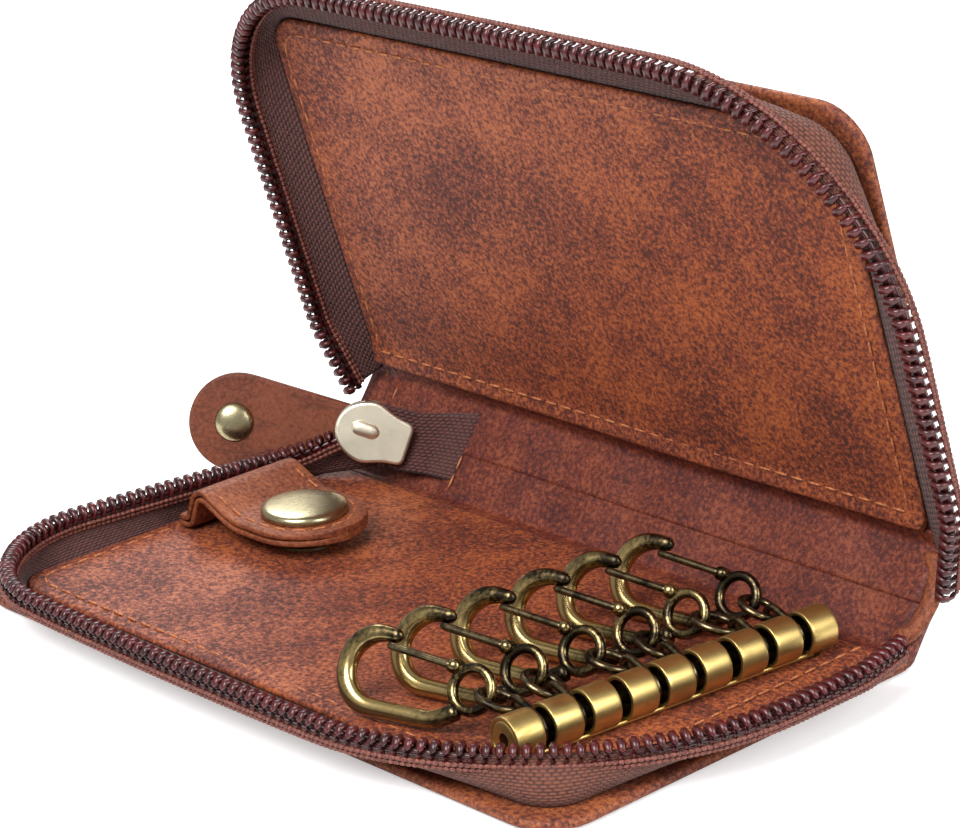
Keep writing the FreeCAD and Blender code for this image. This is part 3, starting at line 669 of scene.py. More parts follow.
def sweep(path: Array, up: Array, section: Array, scale: Optional[Array] = None, closed: bool = False,
          wear_and_highlight: Optional[Array] = None) -> Surface:
    """Section carried along a path.

    Each ring is path + side * section[0] * scale + normal * section[1] * scale, where the normal is the part
    of up that stands square to the path and the side is the path's direction crossed with the normal.

    Args:
        path: n by 3 points.
        up: one direction, or one for each point.
        section: m by 2 points of the closed section.
        scale: size of the section at each point, n by 1 or n by 2.
        closed: join the path's ends.
        wear_and_highlight: how rubbed the surface is, with a painted highlight added on a hook's upper face,
            one value or n by m, which goes into the map.

    Returns:
        The carried surface, with closed ends.
    """
    tangent = np.roll(path, -1, axis=0) - np.roll(path, 1, axis=0) if closed else np.gradient(path, axis=0)
    tangent = unit(tangent)
    up = np.broadcast_to(up, path.shape)
    normal = unit(up - tangent * np.sum(up * tangent, axis=1, keepdims=True))
    side = np.cross(tangent, normal)
    size = np.broadcast_to(np.ones((1, 1)) if scale is None else scale, (len(path), 2))
    rings = path[:, None] + side[:, None] * (section[None, :, :1] * size[:, None, :1])
    rings = rings + normal[:, None] * (section[None, :, 1:] * size[:, None, 1:])
    chart = None
    if wear_and_highlight is not None:
        wear_and_highlight = np.broadcast_to(wear_and_highlight, rings.shape[:2])
        chart = np.stack([np.broadcast_to(lengths(path)[:, None], wear_and_highlight.shape), wear_and_highlight], axis=2)
    cap = Cap.OPEN if closed else Cap.FACE
    return Surface.grid(rings, close_rows=closed, close_cols=True, cap=cap, chart=chart)


def round_ends(path: Array, radius: float) -> Array:
    """Scale along a wire whose two ends are domes: sqrt(1 - t^2) within one radius of an end.

    Args:
        path: the wire's points.
        radius: how far a dome reaches along the wire.

    Returns:
        One scale for each point, n by 1.
    """
    along, least = lengths(path), 0.04
    near = np.clip(np.minimum(along, along[-1] - along) / radius, least, 1)
    return np.sqrt(1 - (1 - near) ** 2)[:, None]


def turned(profile: Sequence, count: int, closed: bool = False) -> Surface:
    """Profile of radius and height turned about Z.

    Args:
        profile: pairs of radius and height.
        count: points round the axis.
        closed: the profile is a loop; otherwise its first and last rings are shut.

    Returns:
        The turned surface.
    """
    outline = np.array(profile, dtype=float)
    heights = np.broadcast_to(outline[:, None, 1:], (len(outline), count, 1))
    points = np.concatenate([circle(count)[None] * outline[:, None, :1], heights], axis=2)
    return Surface.grid(points, close_rows=closed, close_cols=True, cap=Cap.OPEN if closed else Cap.FACE)


def domed(radius: float, top: float, profile: Sequence, count: int) -> Surface:
    """Turned cap: its small flat middle at the top, then shares of the radius with their heights."""
    flat = 0.2
    return turned([(flat, top)] + [(radius * share, height) for share, height in profile], count)


def pebble(half_sizes: Sequence[float], rows: int = 6, cols: int = 8) -> Surface:
    """Ellipsoid: a half circle turned about Z and stretched.

    Args:
        half_sizes: half its length along x, y and z.
        rows: points from pole to pole.
        cols: points round it.

    Returns:
        The ellipsoid.
    """
    pole = 0.05
    turn = np.linspace(pole, np.pi - pole, rows)
    ball = turned(np.stack([np.sin(turn), -np.cos(turn)], axis=1), cols)
    return ball.moved(lambda p: p * np.array(half_sizes))


def placed(origin: Array, axes: Array) -> Carry:
    """Way from a local frame, whose axes are the columns given, to the case's frame."""
    return lambda p: origin + p @ axes.T


def with_outward(loop: Array) -> Array:
    """Anticlockwise loop with the outward direction at each point: its neighbours' run, turned right."""
    run = unit(np.roll(loop, -1, axis=0) - np.roll(loop, 1, axis=0))
    return np.concatenate([loop, np.stack([run[:, 1], -run[:, 0]], axis=1)], axis=1)


def panel_outline(half: float, near: float, far: float, radius: float) -> Array:
    """Outline of a panel with two round far corners, as points and outward directions.

    Args:
        half: half its length along x.
        near: v of its near edge.
        far: v of its far edge.
        radius: radius of the two far corners.

    Returns:
        n by 4 array: x, v and the outward direction.
    """
    near_radius, spacing = 0.6, 1.2
    start = [0.0, near, 0.0]
    corners = [start, [half, near, 0], [half, far, 0], [-half, far, 0], [-half, near, 0], start]
    line = rounded_line(corners, [near_radius, radius, radius, near_radius], spacing)
    return with_outward(line[:-1, :2])


def slab(outline: Array, low: float, high: float, edge: float,
         relief: Optional[Callable[[Array, Array], Array]] = None) -> Surface:
    """Closed panel: rings from the middle of its top out to a round edge and back under.

    Top height is high + relief; the edge is a quarter circle of the edge radius above and below.

    Args:
        outline: points and outward directions.
        low: height of the underside.
        high: height of the top.
        edge: radius of the worn edge.
        relief: rise of the top at the two places.

    Returns:
        The panel in its own frame.
    """
    spot, out = outline[:, :2], outline[:, 2:]
    middle = (spot.min(axis=0) + spot.max(axis=0)) / 2
    inner = spot - out * edge
    # Rings on the top lie closer together near the edge, where the sewing presses the leather down
    shares = np.concatenate([[0.01], np.linspace(0.06, 0.86, 16), np.linspace(0.88, 1.0, 12)])
    top = middle + (inner - middle)[None] * shares[:, None, None]
    rise = np.zeros(top.shape[:2]) if relief is None else relief(top[..., 0], top[..., 1])
    turn = np.linspace(0, np.pi, 9)[1:]
    bend = np.minimum(edge, (high + rise[-1] - low) / 2)
    swing = inner[None] + out[None] * (edge * np.sin(turn))[:, None, None]
    drop = np.where(turn[:, None] < np.pi / 2, high + rise[-1] - bend * (1 - np.cos(turn))[:, None],
                    low + bend * (1 + np.cos(turn))[:, None])
    under = middle + (inner - middle)[None] * np.linspace(0.9, 0.01, 6)[:, None, None]
    flats = np.concatenate([top, swing, under])
    heights = np.concatenate([high + rise, drop, np.full(under.shape[:2], low)])
    return Surface.grid(np.concatenate([flats, heights[..., None]], axis=2), close_cols=True, cap=Cap.FACE)


def standing(ahead: Array, up: Array) -> Array:
    """Axes along a line, n by 3 by 3: ahead, across, and the part of up that stands square to ahead."""
    tall = unit(up - ahead * (ahead @ up)[:, None])
    return np.stack([ahead, np.cross(tall, ahead), tall], axis=2)


def stitches(line: Array, up: Array, pitch: float = 2.9, long: float = 2.35, radius: float = 0.19) -> Surface:
    """Row of thread stitches along a line: one small pebble for each, sunk by half.

    Args:
        line: points on the leather's face.
        up: direction out of the leather.
        pitch: spacing of the stitches.
        long: length of one stitch.
        radius: half the thread's width.

    Returns:
        All stitches as one surface.
    """
    spots = even(line, pitch)
    frames = standing(unit(spots[1:] - spots[:-1]), up)
    return pebble((long / 2, radius, radius)).copies((spots[1:] + spots[:-1]) / 2, frames)


def joint(name: str) -> tuple[Array, Array]:
    """Place in millimetres and direction of a joint's axis, from the frame; a slide has its place at zero."""
    found = next(entry for entry in frame["joints"] if entry["name"] == name)
    return np.array(found.get("pos_m", (0, 0, 0))) / MM, unit(np.array(found["axis"]))


# Sizes that several pieces share


class FoldFrame:
    """Where the two halves and the spine stand, read from the frame's two fold joints."""

    middle: float = 0.8

    def __init__(self) -> None:
        """Find the spine's direction, and the upper half's axes as the mirror of the lower's across it."""
        low, high = (joint(name)[0] * np.array([0, 1, 1]) for name in ("lower_fold", "upper_fold"))
        up = unit(high - low)
        mirror = np.eye(3) - 2 * np.outer(up, up)
        front = np.array([0, -1.0, 0])
        self.spine_up = up
        self.spine_in = np.array([0, -up[2], up[1]])
        self.into_spine = {Side.LOWER: up, Side.UPPER: -up}
        self.away = {Side.LOWER: front, Side.UPPER: mirror @ front}
        self.inward = {Side.LOWER: UP, Side.UPPER: mirror @ UP}
        self.fold = {Side.LOWER: low, Side.UPPER: high}

    def carry(self, side: Side) -> Carry:
        """Way from a half's own frame to the case's: x along the fold, v away from it, w from the outside in.

        Args:
            side: which half.

        Returns:
            Function from x, v, w to x, y, z.
        """
        fold, away, inward = self.fold[side], self.away[side], self.inward[side]
        return lambda p: p[..., :1] * ALONG + fold + p[..., 1:2] * away + (p[..., 2:3] - self.middle) * inward

    def on_spine(self, x: Array, t: Array, depth: float) -> Array:
        """Points of the spine: x along it, t up it from the lower fold, depth to the inside."""
        return x[:, None] * ALONG + self.fold[Side.LOWER] + t[:, None] * self.spine_up + depth * self.spine_in


FOLD = FoldFrame()


def soft_wave(x: Array, v: Array, size: float) -> Array:
    """Slow waves of a hand-worked panel: three sines of different lengths added up.

    Args:
        x: places along the panel.
        v: places across it.
        size: height that the waves reach where all three meet.

    Returns:
        The rise at each place.
    """
    long, across, drift, slant = 11.0, 8.0, 23.0, 6.5
    start, weak = 0.6, 0.6
    waves = np.sin(x / long + start) + np.sin(v / across + x / drift) + weak * np.sin((x - v) / slant)
    return size * waves / (2 + weak)


@dataclass(frozen=True)
class ZipSizes:
    """Sizes of the zip in millimetres, shared by its two stringers and the end at the slider."""

    pitch: float = 1.6
    centre: float = 6.9
    tape_foot: float = 1.6
    tape_top: float = 7.1
    tape_thick: float = 0.7
    wire: float = 0.46
    # Half of a tooth from its foot to its head: place across, height, and how thick the wire is there
    tooth_half: tuple = ((0.8, -0.9, 0.8), (0.95, -0.2, 0.8), (0.9, 0.5, 1.05), (0.45, 1.05, 1.35))
    lead: float = 0.24
    flatness: float = 0.8
    core: float = 0.5
    core_drop: float = 0.25
    # Rows of sewing on each side: how far out from the teeth's middle and how far down
    seams: tuple = ((1.1, 0.95), (0.9, 1.6))
    stitch_pitch: float = 0.8
    stitch_long: float = 1.0
    stitch_radius: float = 0.31

    def tooth(self) -> Surface:
        """One turn of the coil as an inverted U: a wire carried over eight points, wider at its head.

        Returns:
            The tooth, with x along the zip, y across it and z up.
        """
        half = np.array(self.tooth_half)
        across, tall, swell = np.concatenate([half * np.array([-1, 1, 1]), half[::-1]]).T
        path = np.stack([np.linspace(-self.lead, self.lead, len(across)), across, tall], axis=1)
        scale = swell[:, None] * np.array([[1.0, self.flatness]])
        return sweep(path, np.array([0.05, 0, 1.0]), circle(6, self.wire), scale)

    def row(self, line: Array, up: Array) -> tuple[Surface, Surface]:
        """Teeth and the sewing along both their sides.

        Args:
            line: points through the teeth's middle.
            up: direction from the tape to the teeth's heads.

        Returns:
            The teeth and the thread.
        """
        spots = even(line, self.pitch)
        frames = standing(unit(np.gradient(spots, axis=0)), up)
        side, tall = frames[..., 1], frames[..., 2]
        core = sweep(spots - tall * self.core_drop, up, circle(8, self.core))
        teeth = Surface.join([self.tooth().copies(spots, frames), core])
        rows = [stitches(spots + side * (way * out) - tall * down, up, self.stitch_pitch, self.stitch_long,
                         self.stitch_radius)
                for way in (-1, 1) for out, down in self.seams]
        return teeth, Surface.join(rows)

    def tape(self, middle: Array, line: Array, climb: Array, way: float) -> Surface:
        """Woven tape about a grid of points; its outside is the grid's two runs crossed, times the way.

        Args:
            middle: rows by cols by 3 points.
            line: the line that the rows follow, for the map.
            climb: millimetres up the tape at each column, for the map.
            way: 1 or -1.

        Returns:
            The tape.
        """
        normal = way * unit(np.cross(np.gradient(middle, axis=0), np.gradient(middle, axis=1)))
        chart = np.stack(np.broadcast_arrays(lengths(line)[:, None], climb[None]), axis=2)
        return Surface.sheet(middle, normal, self.tape_thick, chart)


ZIP = ZipSizes()


@dataclass(frozen=True)
class Rim:
    """Line of the teeth on one half: corners in x and v, their radii, the foot's first v, the front's bow."""

    corners: tuple
    radii: tuple
    foot_start: float
    bow: float


RIMS = {
    Side.LOWER: Rim(((-52.4, 17.0), (-58.9, 69.5), (62.3, 69.5), (62.9, 17.0), (60.8, 7.6)),
                    (20.0, 40.0, 9.0), 17.0, 2.4),
    Side.UPPER: Rim(((-55.2, 0.6), (-58.4, 11.0), (-58.4, 69.5), (62.3, 69.5), (62.3, 10.0), (58.4, -2.2)),
                    (12.0, 22.0, 33.0, 10.0), 1.4, 0.4),
}


# Sub-assemblies


@dataclass
class Half:
    """One half of the case: cover, lining, zip tape and teeth, in the half's own x, v, w."""

    side: Side
    finishes: Finishes
    half: float = 57.0
    near: float = 0.9
    far: float = 65.9
    corner: float = 7.0
    cover_low: float = 0.2
    cover_top: float = 1.6
    cover_edge: float = 0.75
    cover_inset: float = 2.6
    lining_half: float = 53.2
    lining_near: float = 3.3
    lining_far: float = 62.1
    lining_corner: float = 5.4
    lining_top: float = 2.8
    lining_edge: float = 0.6
    lining_inset: float = 2.2
    wave: float = 0.22
    pressed: float = 0.3
    pressed_reach: float = 1.4
    hem_rise: float = 0.8
    hem_reach: float = 2.2
    hem_inset: float = 2.6
    foot_half: float = 53.4
    foot_far: float = 62.3
    foot_corner: float = 5.4
    foot_end: float = 2.0
    foot_evenness: float = 0.06
    rim_left: float = -58.9
    rim_right: float = 62.3
    rim_far: float = 69.5
    tape_tall: float = 9.0
    puff: float = 3.5
    puff_reach: float = 14.0

    def __post_init__(self) -> None:
        """Take the way from the half's frame to the case's, and the direction to the inside."""
        self.carry = FOLD.carry(self.side)
        self.inward = FOLD.inward[self.side]

    def add(self, name: str, surface: Surface, material: Material, node_end: str = "",
            slot: str = "") -> None:
        """Add one of the half's pieces under its side's name.

        Args:
            name: end of the piece's name.
            surface: its points and faces.
            material: its finish.
            node_end: end of the name of the node that it stands for.
            slot: the record's material slot, which is not used.
        """
        side = self.side.value
        replaced = [side + node_end] if node_end else ()
        add_piece(side + name, surface, material, side + "_half", replaced)

    def build(self) -> None:
        """Build the half's panels, sewing and zip."""
        outline = panel_outline(self.half, self.near, self.far, self.corner)
        cover = slab(outline, self.cover_low, self.cover_top, self.cover_edge)
        self.add("_cover_leather", cover.moved(self.carry), self.finishes.cover, "_cover", "cover_leather")
        outline = panel_outline(self.lining_half, self.lining_near, self.lining_far, self.lining_corner)
        lining = slab(outline, self.cover_top, self.lining_top, self.lining_edge, self.relief)
        lining = lining.moved(self.carry)
        self.add("_lining_leather", lining, self.finishes.lining, "_lining", "lining_leather")
        self.sew()
        self.stand_zip()

    def relief(self, x: Array, v: Array) -> Array:
        """Rise of the lining: soft waves, pressed down at the sewn edge, and a hem along the upper near edge.

        Args:
            x: places along the fold.
            v: places away from it.

        Returns:
            The rise in millimetres.
        """
        margin = np.minimum(self.lining_half - np.abs(x), self.lining_far - v)
        pressed = self.pressed * np.exp(-np.clip(margin, 0, None) / self.pressed_reach)
        rise = soft_wave(x, v, self.wave) - pressed
        if self.side is Side.UPPER:
            rise = rise + self.hem_rise * np.exp(-((v - self.lining_near) / self.hem_reach) ** 2)
        return rise

    def sew(self) -> None:
        """Stitches along three sides of the lining and of the cover's outside, and along the upper hem."""
        near, sunk, raised, top = self.lining_near, 0.02, 0.25, self.lining_top
        lines = []
        for half, far, corner, inset, w in (
                (self.lining_half, self.lining_far, self.lining_corner, self.lining_inset, top - sunk),
                (self.half, self.far, self.corner, self.cover_inset, self.cover_low)):
            half, far = half - inset, far - inset
            corners = [[-half, near, w], [-half, far, w], [half, far, w], [half, near, w]]
            lines.append(rounded_line(corners, [corner - inset] * 2, 1.0))
        if self.side is Side.UPPER:
            half, v, w = self.lining_half - self.lining_inset, near + self.hem_inset, top + raised
            lines.append(even(np.array([[-half, v, w], [half, v, w]]), 1.0))
        rows = [stitches(self.carry(line), self.inward) for line in lines]
        self.add("_stitches", Surface.join(rows), self.finishes.thread)

    def rim(self) -> tuple[Array, Array]:
        """Line of the teeth and the line of the tape's foot that belongs to it.

        The rim leans out beyond the cover, bows out along its front and turns in at its ends; each of its
        points has about the nearest point of the foot.

        Returns:
            Two arrays of x and v.
        """
        rim = RIMS[self.side]
        line = rounded_line([[x, v, 0.0] for x, v in rim.corners], rim.radii, 0.8)[:, :2]
        middle, reach = (self.rim_left + self.rim_right) / 2, (self.rim_right - self.rim_left) / 2
        front = np.clip(line[:, 1] / self.rim_far, 0, 1) ** 8
        line[:, 1] += rim.bow * np.clip(1 - ((line[:, 0] - middle) / reach) ** 2, 0, 1) * front
        half, far = self.foot_half, self.foot_far
        corners = [[-half, rim.foot_start, 0], [-half, far, 0], [half, far, 0], [half, self.foot_end, 0]]
        foot = rounded_line(corners, [self.foot_corner] * 2, 0.2)[:, :2]
        gap = np.linalg.norm(line[:, None] - foot[None], axis=2)
        place = np.argmin(gap, axis=1) / (len(foot) - 1)
        spread = 4
        weights = np.ones(2 * spread + 1) / (2 * spread + 1)
        place = np.convolve(np.pad(place, spread, mode="edge"), weights, mode="valid")
        place = (1 - self.foot_evenness) * place + self.foot_evenness * np.linspace(0, 1, len(line))
        return line, at_places(foot, place * lengths(foot)[-1])

    def stand_zip(self) -> None:
        """Tape from its foot up to the rim with the teeth along its top.

        With s from foot to rim the wall goes out like 1 - (1 - s)^1.7, and at the far right corner, where the
        rim is cut short, it puffs out further like sin(pi s) * (1 - s)^0.7.
        """
        line, foot = self.rim()
        share = np.linspace(0, 1, 10)
        out = (1 - (1 - share) ** 1.7)[None, :, None]
        flat = foot[:, None] * (1 - out) + line[:, None] * out
        corner = np.array([self.foot_half, self.foot_far])
        near = np.exp(-np.sum((foot - corner) ** 2, axis=1) / self.puff_reach ** 2)
        puff = self.puff * near[:, None] * (np.sin(np.pi * share) * (1 - share) ** 0.7)[None]
        flat = flat + puff[..., None] * unit(np.ones(2))
        height = np.broadcast_to(ZIP.tape_foot + (ZIP.tape_top - ZIP.tape_foot) * share, flat.shape[:2])
        middle = self.carry(np.concatenate([flat, height[..., None]], axis=2))
        tape = ZIP.tape(middle, line, share * self.tape_tall, 1.0 if self.side is Side.LOWER else -1.0)
        self.add("_zip_tape_cloth", tape, self.finishes.tape, "_zip_tape", "zip_tape_fabric")
        top = self.carry(np.concatenate([line, np.full((len(line), 1), ZIP.centre)], axis=1))
        teeth, thread = ZIP.row(top, self.inward)
        self.add("_zip_teeth", teeth, self.finishes.coil, "_zip_coil", "zip_coil_nylon")
        self.add("_zip_sewing", thread, self.finishes.zip_thread)


@dataclass(frozen=True)
class SpineStrip:
    """Sizes of the two strips, leather and facing, that run from one half to the spine's middle."""

    replaces: str
    depth: float
    face_left: float
    lap: float
    lap_depth: float
    turn: float
    # Short row of stitches at the facing's left end: x, and from where to where up the spine
    seam: tuple


STRIPS = {
    Side.LOWER: SpineStrip("spine_leather", 0.08, -33.0, 0.9, 0.18, 1.0, (-31.0, 1.6, 7.4)),
    Side.UPPER: SpineStrip("spine_lining", -0.1, -51.0, 0.0, 0.0, -1.0, (-49.0, 8.6, 14.2)),
}


@dataclass
class Spine:
    """Leather spine that bends at its two folds, with its facing and the rolled end."""

    finishes: Finishes
    height: float = 15.9
    half: float = 56.2
    thick: float = 1.4
    overlap: float = 1.2
    face_right: float = 55.0
    face_depth: float = 1.15
    face_thick: float = 0.7
    face_overlap: float = 2.4
    fold_radius: float = 1.2
    fold_lean: float = 26.7
    bend_before: float = 0.6
    bend_after: float = 1.2
    ripple: float = 0.16
    # Lengths that the ripple's quick and slow sine go by, and how far the slow one shifts the quick one
    ripple_quick: float = 3.1
    ripple_slow: float = 9.0
    ripple_shift: float = 1.3
    # Rolled end: x along the spine and t up it
    roll: tuple = ((53.0, 14.0), (55.2, 13.0), (56.3, 10.8), (56.6, 8.0),
                   (56.3, 5.2), (55.2, 3.0), (53.0, 2.0))
    roll_depth: float = 1.6
    roll_half: tuple = (1.2, 0.8)
    roll_dome: float = 2.0

    def build(self) -> None:
        """Outer leather and facing, each in two strips that meet at the middle, and the rolled end."""
        leather = self.finishes.spine
        rows = []
        for side, sizes in STRIPS.items():
            name, body, fold = "spine_" + side.value, side.value + "_half", FOLD.fold[side]
            bend = Bend("spine", fold + FOLD.away[side] * self.bend_before,
                        fold + FOLD.into_spine[side] * self.bend_after)
            outer = self.strip(side, -self.half, self.half, sizes.depth, self.thick, self.overlap)
            add_piece(name + "_leather", outer, leather, body, [sizes.replaces], bend)
            face = self.strip(side, sizes.face_left, self.face_right, self.face_depth - sizes.lap_depth,
                              self.face_thick, self.face_overlap)
            add_piece(name + "_facing", face, leather, body, bend=bend)
            x, *span = sizes.seam
            seam = FOLD.on_spine(np.full(2, x), np.array(span), self.face_depth + self.face_thick / 2)
            rows.append(stitches(seam, FOLD.spine_in))
        self.roll_end()
        add_piece("spine_stitches", Surface.join(rows), self.finishes.thread, "spine")

    def strip(self, side: Side, left: float, right: float, depth: float, thick: float,
              overlap: float) -> Surface:
        """Strip of leather from a half, round its fold, to the spine's middle.

        The line across the strip goes along the panel, bends at the fold and climbs to half the spine's
        height; it lies at a depth to the inside and ripples slightly along its length.

        Args:
            side: the half it starts on.
            left: x of its left end.
            right: x of its right end.
            depth: distance of its middle from the folds' plane to the inside.
            thick: thickness.
            overlap: how far it runs on to the half.

        Returns:
            The strip.
        """
        sizes, spacing = STRIPS[side], 1.2
        lean = unit(FOLD.inward[side] + FOLD.spine_in) / math.cos(math.radians(self.fold_lean))
        corner = FOLD.fold[side] + lean * depth
        reach = self.height / 2 + sizes.lap
        corners = [corner + FOLD.away[side] * overlap, corner, corner + FOLD.into_spine[side] * reach]
        line = rounded_line(corners, [self.fold_radius], 0.5)
        normal = np.cross(unit(np.gradient(line, axis=0)), ALONG) * sizes.turn
        x = np.linspace(left, right, int((right - left) / spacing))
        climb = np.clip((lengths(line) - overlap) / (self.height / 2), 0, 1)
        phase = x / self.ripple_quick + self.ripple_shift * np.sin(x / self.ripple_slow)
        ripple = self.ripple * np.sin(phase)[:, None] * np.sin(np.pi * climb)[None]
        middle = x[:, None, None] * ALONG + line[None] + ripple[..., None] * normal[None]
        return Surface.sheet(middle, np.broadcast_to(normal[None], middle.shape), thick)

    def roll_end(self) -> None:
        """Rolled leather that closes the spine's right end, bulging beyond the facing."""
        x, t = np.array(self.roll).T
        path = even(FOLD.on_spine(x, t, self.roll_depth), 0.6)
        section = squarish(14, *self.roll_half, 0.8)
        roll = sweep(path, FOLD.spine_in, section, round_ends(path, self.roll_dome))
        add_piece("spine_end_roll", roll, self.finishes.strap, "spine")


@dataclass
class ZipEnd:
    """Closed end of the zip: slider, pull tab, and the tape that leads from the lower half to the spine."""

    finishes: Finishes
    nose: float = 5.65
    broad: float = 4.65
    tail: float = 3.2
    plate_low: float = 1.0
    plate_high: float = 2.1
    plate_edge: float = 0.45
    core_share: float = 0.6
    core_edge: float = 0.1
    boss_from: float = -1.0
    boss_to: float = 3.2
    boss_aside: float = 0.3
    boss_half: tuple = (1.1, 0.6)
    boss_dome: float = 1.2
    bail_foot: float = 1.6
    bail_bend: float = 0.9
    bail_radius: float = 0.55
    pin_depth: float = 3.8
    pin_half: float = 3.7
    neck: float = 2.9
    neck_share: float = 0.15
    tab_reach: float = 20.0
    tab_radius: float = 7.4
    tab_thick: float = 1.7
    tab_edge: float = 0.55
    tab_drop: float = 15.2
    tab_wave: float = 0.12
    tab_wave_pace: float = 1.6
    knuckle: float = 1.6
    knuckle_dome: float = 0.5
    rivet_reach: float = 20.6
    rivet_radius: float = 2.9
    rivet_top: float = 0.95
    rivet_profile: tuple = ((0.4, 0.88), (0.7, 0.68), (0.9, 0.4), (1.0, 0.1), (1.0, -0.2))
    rivet_back: tuple = (0.7, 0.7, -0.4)
    lead_line: tuple = ((-52.4, 16.6, 6.9), (-50.6, 23.2, 7.2))
    lead_foot: tuple = ((-53.4, 16.6, 1.6), (-52.0, 23.5, 3.0), (-43.8, 31.0, 4.4))
    lead_radius: float = 9.0
    lead_foot_radius: float = 5.0
    lead_tall: float = 7.0
    mouth: float = 2.0
    lead_bend: tuple = ((-52.2, 18.0, 5.0), (-47.5, 27.0, 8.0))
    patch_end: tuple = ((-36.0, 36.4, 7.5), (-31.0, 37.2, 7.8))
    patch_ahead: float = 2.5
    patch_behind: float = 5.6
    patch_radii: tuple = (2.0, 6.0, 4.0)
    patch_tall: float = 5.4
    patch_map_start: float = 10.0
    patch_low: float = -0.8
    patch_half: float = 4.3
    patch_growth: float = 1.6

    def __post_init__(self) -> None:
        """Take the slider's axes from its joints: x to the nose, y to the inside, z along the pull's pin."""
        self.pin, swing = joint("pull_swing")
        x = joint("slider_slide")[1]
        y = np.cross(-swing, x)
        self.axes = np.stack([x, y, -swing], axis=1)
        self.origin = self.pin + y * self.pin_depth

    def build(self) -> None:
        """Build the slider, its tab and the tape about it."""
        self.cast_slider()
        self.cut_tab()
        self.lead_tape()
        self.end_patch()

    def cast_slider(self) -> None:
        """Two shield-shaped plates on a core, with an oblong boss on the inner one, and the wire bail.

        The shield is half an oval in front; behind, its half width falls from broad to tail like (1 - s)^2.2.
        """
        low, high = self.plate_low, self.plate_high
        front = arc(1.0, -np.pi / 2, np.pi / 2, 25) * np.array([self.nose, self.broad])
        back = np.linspace(0, 1, 12)[1:]
        width = self.tail + (self.broad - self.tail) * (1 - back) ** 2.2
        flank = np.stack([-self.nose * back, width], axis=1)
        loop = np.concatenate([front, flank, flank[::-1] * np.array([1, -1]), front[:1]])
        loop = smoothed(loop, 0.35, 3)
        inner = slab(with_outward(loop), low, high, self.plate_edge)
        outer = inner.moved(lambda p: p * np.array([1, 1, -1]))
        aside = self.boss_aside
        ridge = np.linspace([self.boss_from, aside, high], [self.boss_to, aside, high], 16)
        boss = sweep(ridge, UP, circle(20) * np.array(self.boss_half), round_ends(ridge, self.boss_dome))
        core = slab(with_outward(loop * self.core_share), -low, low, self.core_edge)
        plates = Surface.join([inner, outer, boss, core]).moved(placed(self.origin, self.axes[:, [0, 2, 1]]))
        add_piece("slider_plates", plates, self.finishes.slider, "slider", ["slider_body"])
        foot, top, half = -self.bail_foot, -self.pin_depth, self.pin_half
        arch = rounded_line([[0, foot, -half], [0, top, -half], [0, top, half], [0, foot, half]],
                            [self.bail_bend] * 2, 0.3)
        wire = sweep(arch, ALONG, circle(10, self.bail_radius)).moved(placed(self.origin, self.axes))
        add_piece("slider_bail_wire", wire, self.finishes.slider, "slider", ["slider_bail"])

    def cut_tab(self) -> None:
        """Leather tab: the outline round a small and a large circle, its knuckle on the pin and its rivet."""
        lean = math.acos((self.neck - self.tab_radius) / self.tab_reach)
        far = arc(self.tab_radius, -lean, lean, 40) + np.array([self.tab_reach, 0])
        near = arc(self.neck, lean, 2 * np.pi - lean, 16) * np.array([self.neck_share, 1.0])
        loop = smoothed(np.concatenate([far, near, far[:1]]), 0.6, 2)
        a = math.radians(self.tab_drop)
        drop = np.array([[math.cos(a), 0, math.sin(a)], [0, 1, 0], [-math.sin(a), 0, math.cos(a)]])
        axes = self.axes @ drop
        lay = placed(self.pin, axes[:, [0, 2, 1]])
        half, pace = self.tab_thick / 2, self.tab_wave_pace
        leaf = slab(with_outward(loop), -half, half, self.tab_edge,
                    lambda x, z: soft_wave(x * pace, z * pace, self.tab_wave))
        pin = np.linspace([0, 0, -self.neck], [0, 0, self.neck], 12)
        roll = sweep(pin, ALONG, circle(20, self.knuckle), round_ends(pin, self.knuckle_dome))
        tab = Surface.join([leaf.moved(lay), roll.moved(placed(self.pin, axes))])
        add_piece("pull_tab_leather", tab, self.finishes.tab, "pull", ["pull_tab"])
        dome = domed(self.rivet_radius, self.rivet_top, self.rivet_profile, 40)
        head = dome.moved(lambda p: p + np.array([self.rivet_reach, 0, half]))
        back = dome.moved(lambda p: p * np.array(self.rivet_back) + np.array([self.rivet_reach, 0, -half]))
        rivet = Surface.join([head, back]).moved(lay)
        add_piece("pull_rivet_head", rivet, self.finishes.snap, "pull", ["pull_rivet"])

    def lead_tape(self) -> None:
        """Lower stringer's last stretch into the slider: straight threads from its foot line to its teeth."""
        mouth = self.origin + self.axes[:, 0] * self.mouth
        line = rounded_line([*self.lead_line, mouth], [self.lead_radius], 0.6)
        foot = rounded_line(self.lead_foot, [self.lead_foot_radius], 0.6)
        foot = at_places(foot, np.linspace(0, lengths(foot)[-1], len(line)))
        share = np.linspace(0, 1, 8)
        middle = foot[:, None] * (1 - share[:, None]) + line[:, None] * share[:, None]
        bend = Bend("zip_end", *np.array(self.lead_bend))
        tape = ZIP.tape(middle, line, share * self.lead_tall, -1.0)
        add_piece("zip_lead_tape", tape, self.finishes.tape, "lower_half", bend=bend)
        teeth, thread = ZIP.row(line, self.axes[:, 2])
        add_piece("zip_lead_teeth", teeth, self.finishes.coil, "lower_half", bend=bend)
        add_piece("zip_lead_sewing", thread, self.finishes.zip_thread, "lower_half", bend=bend)

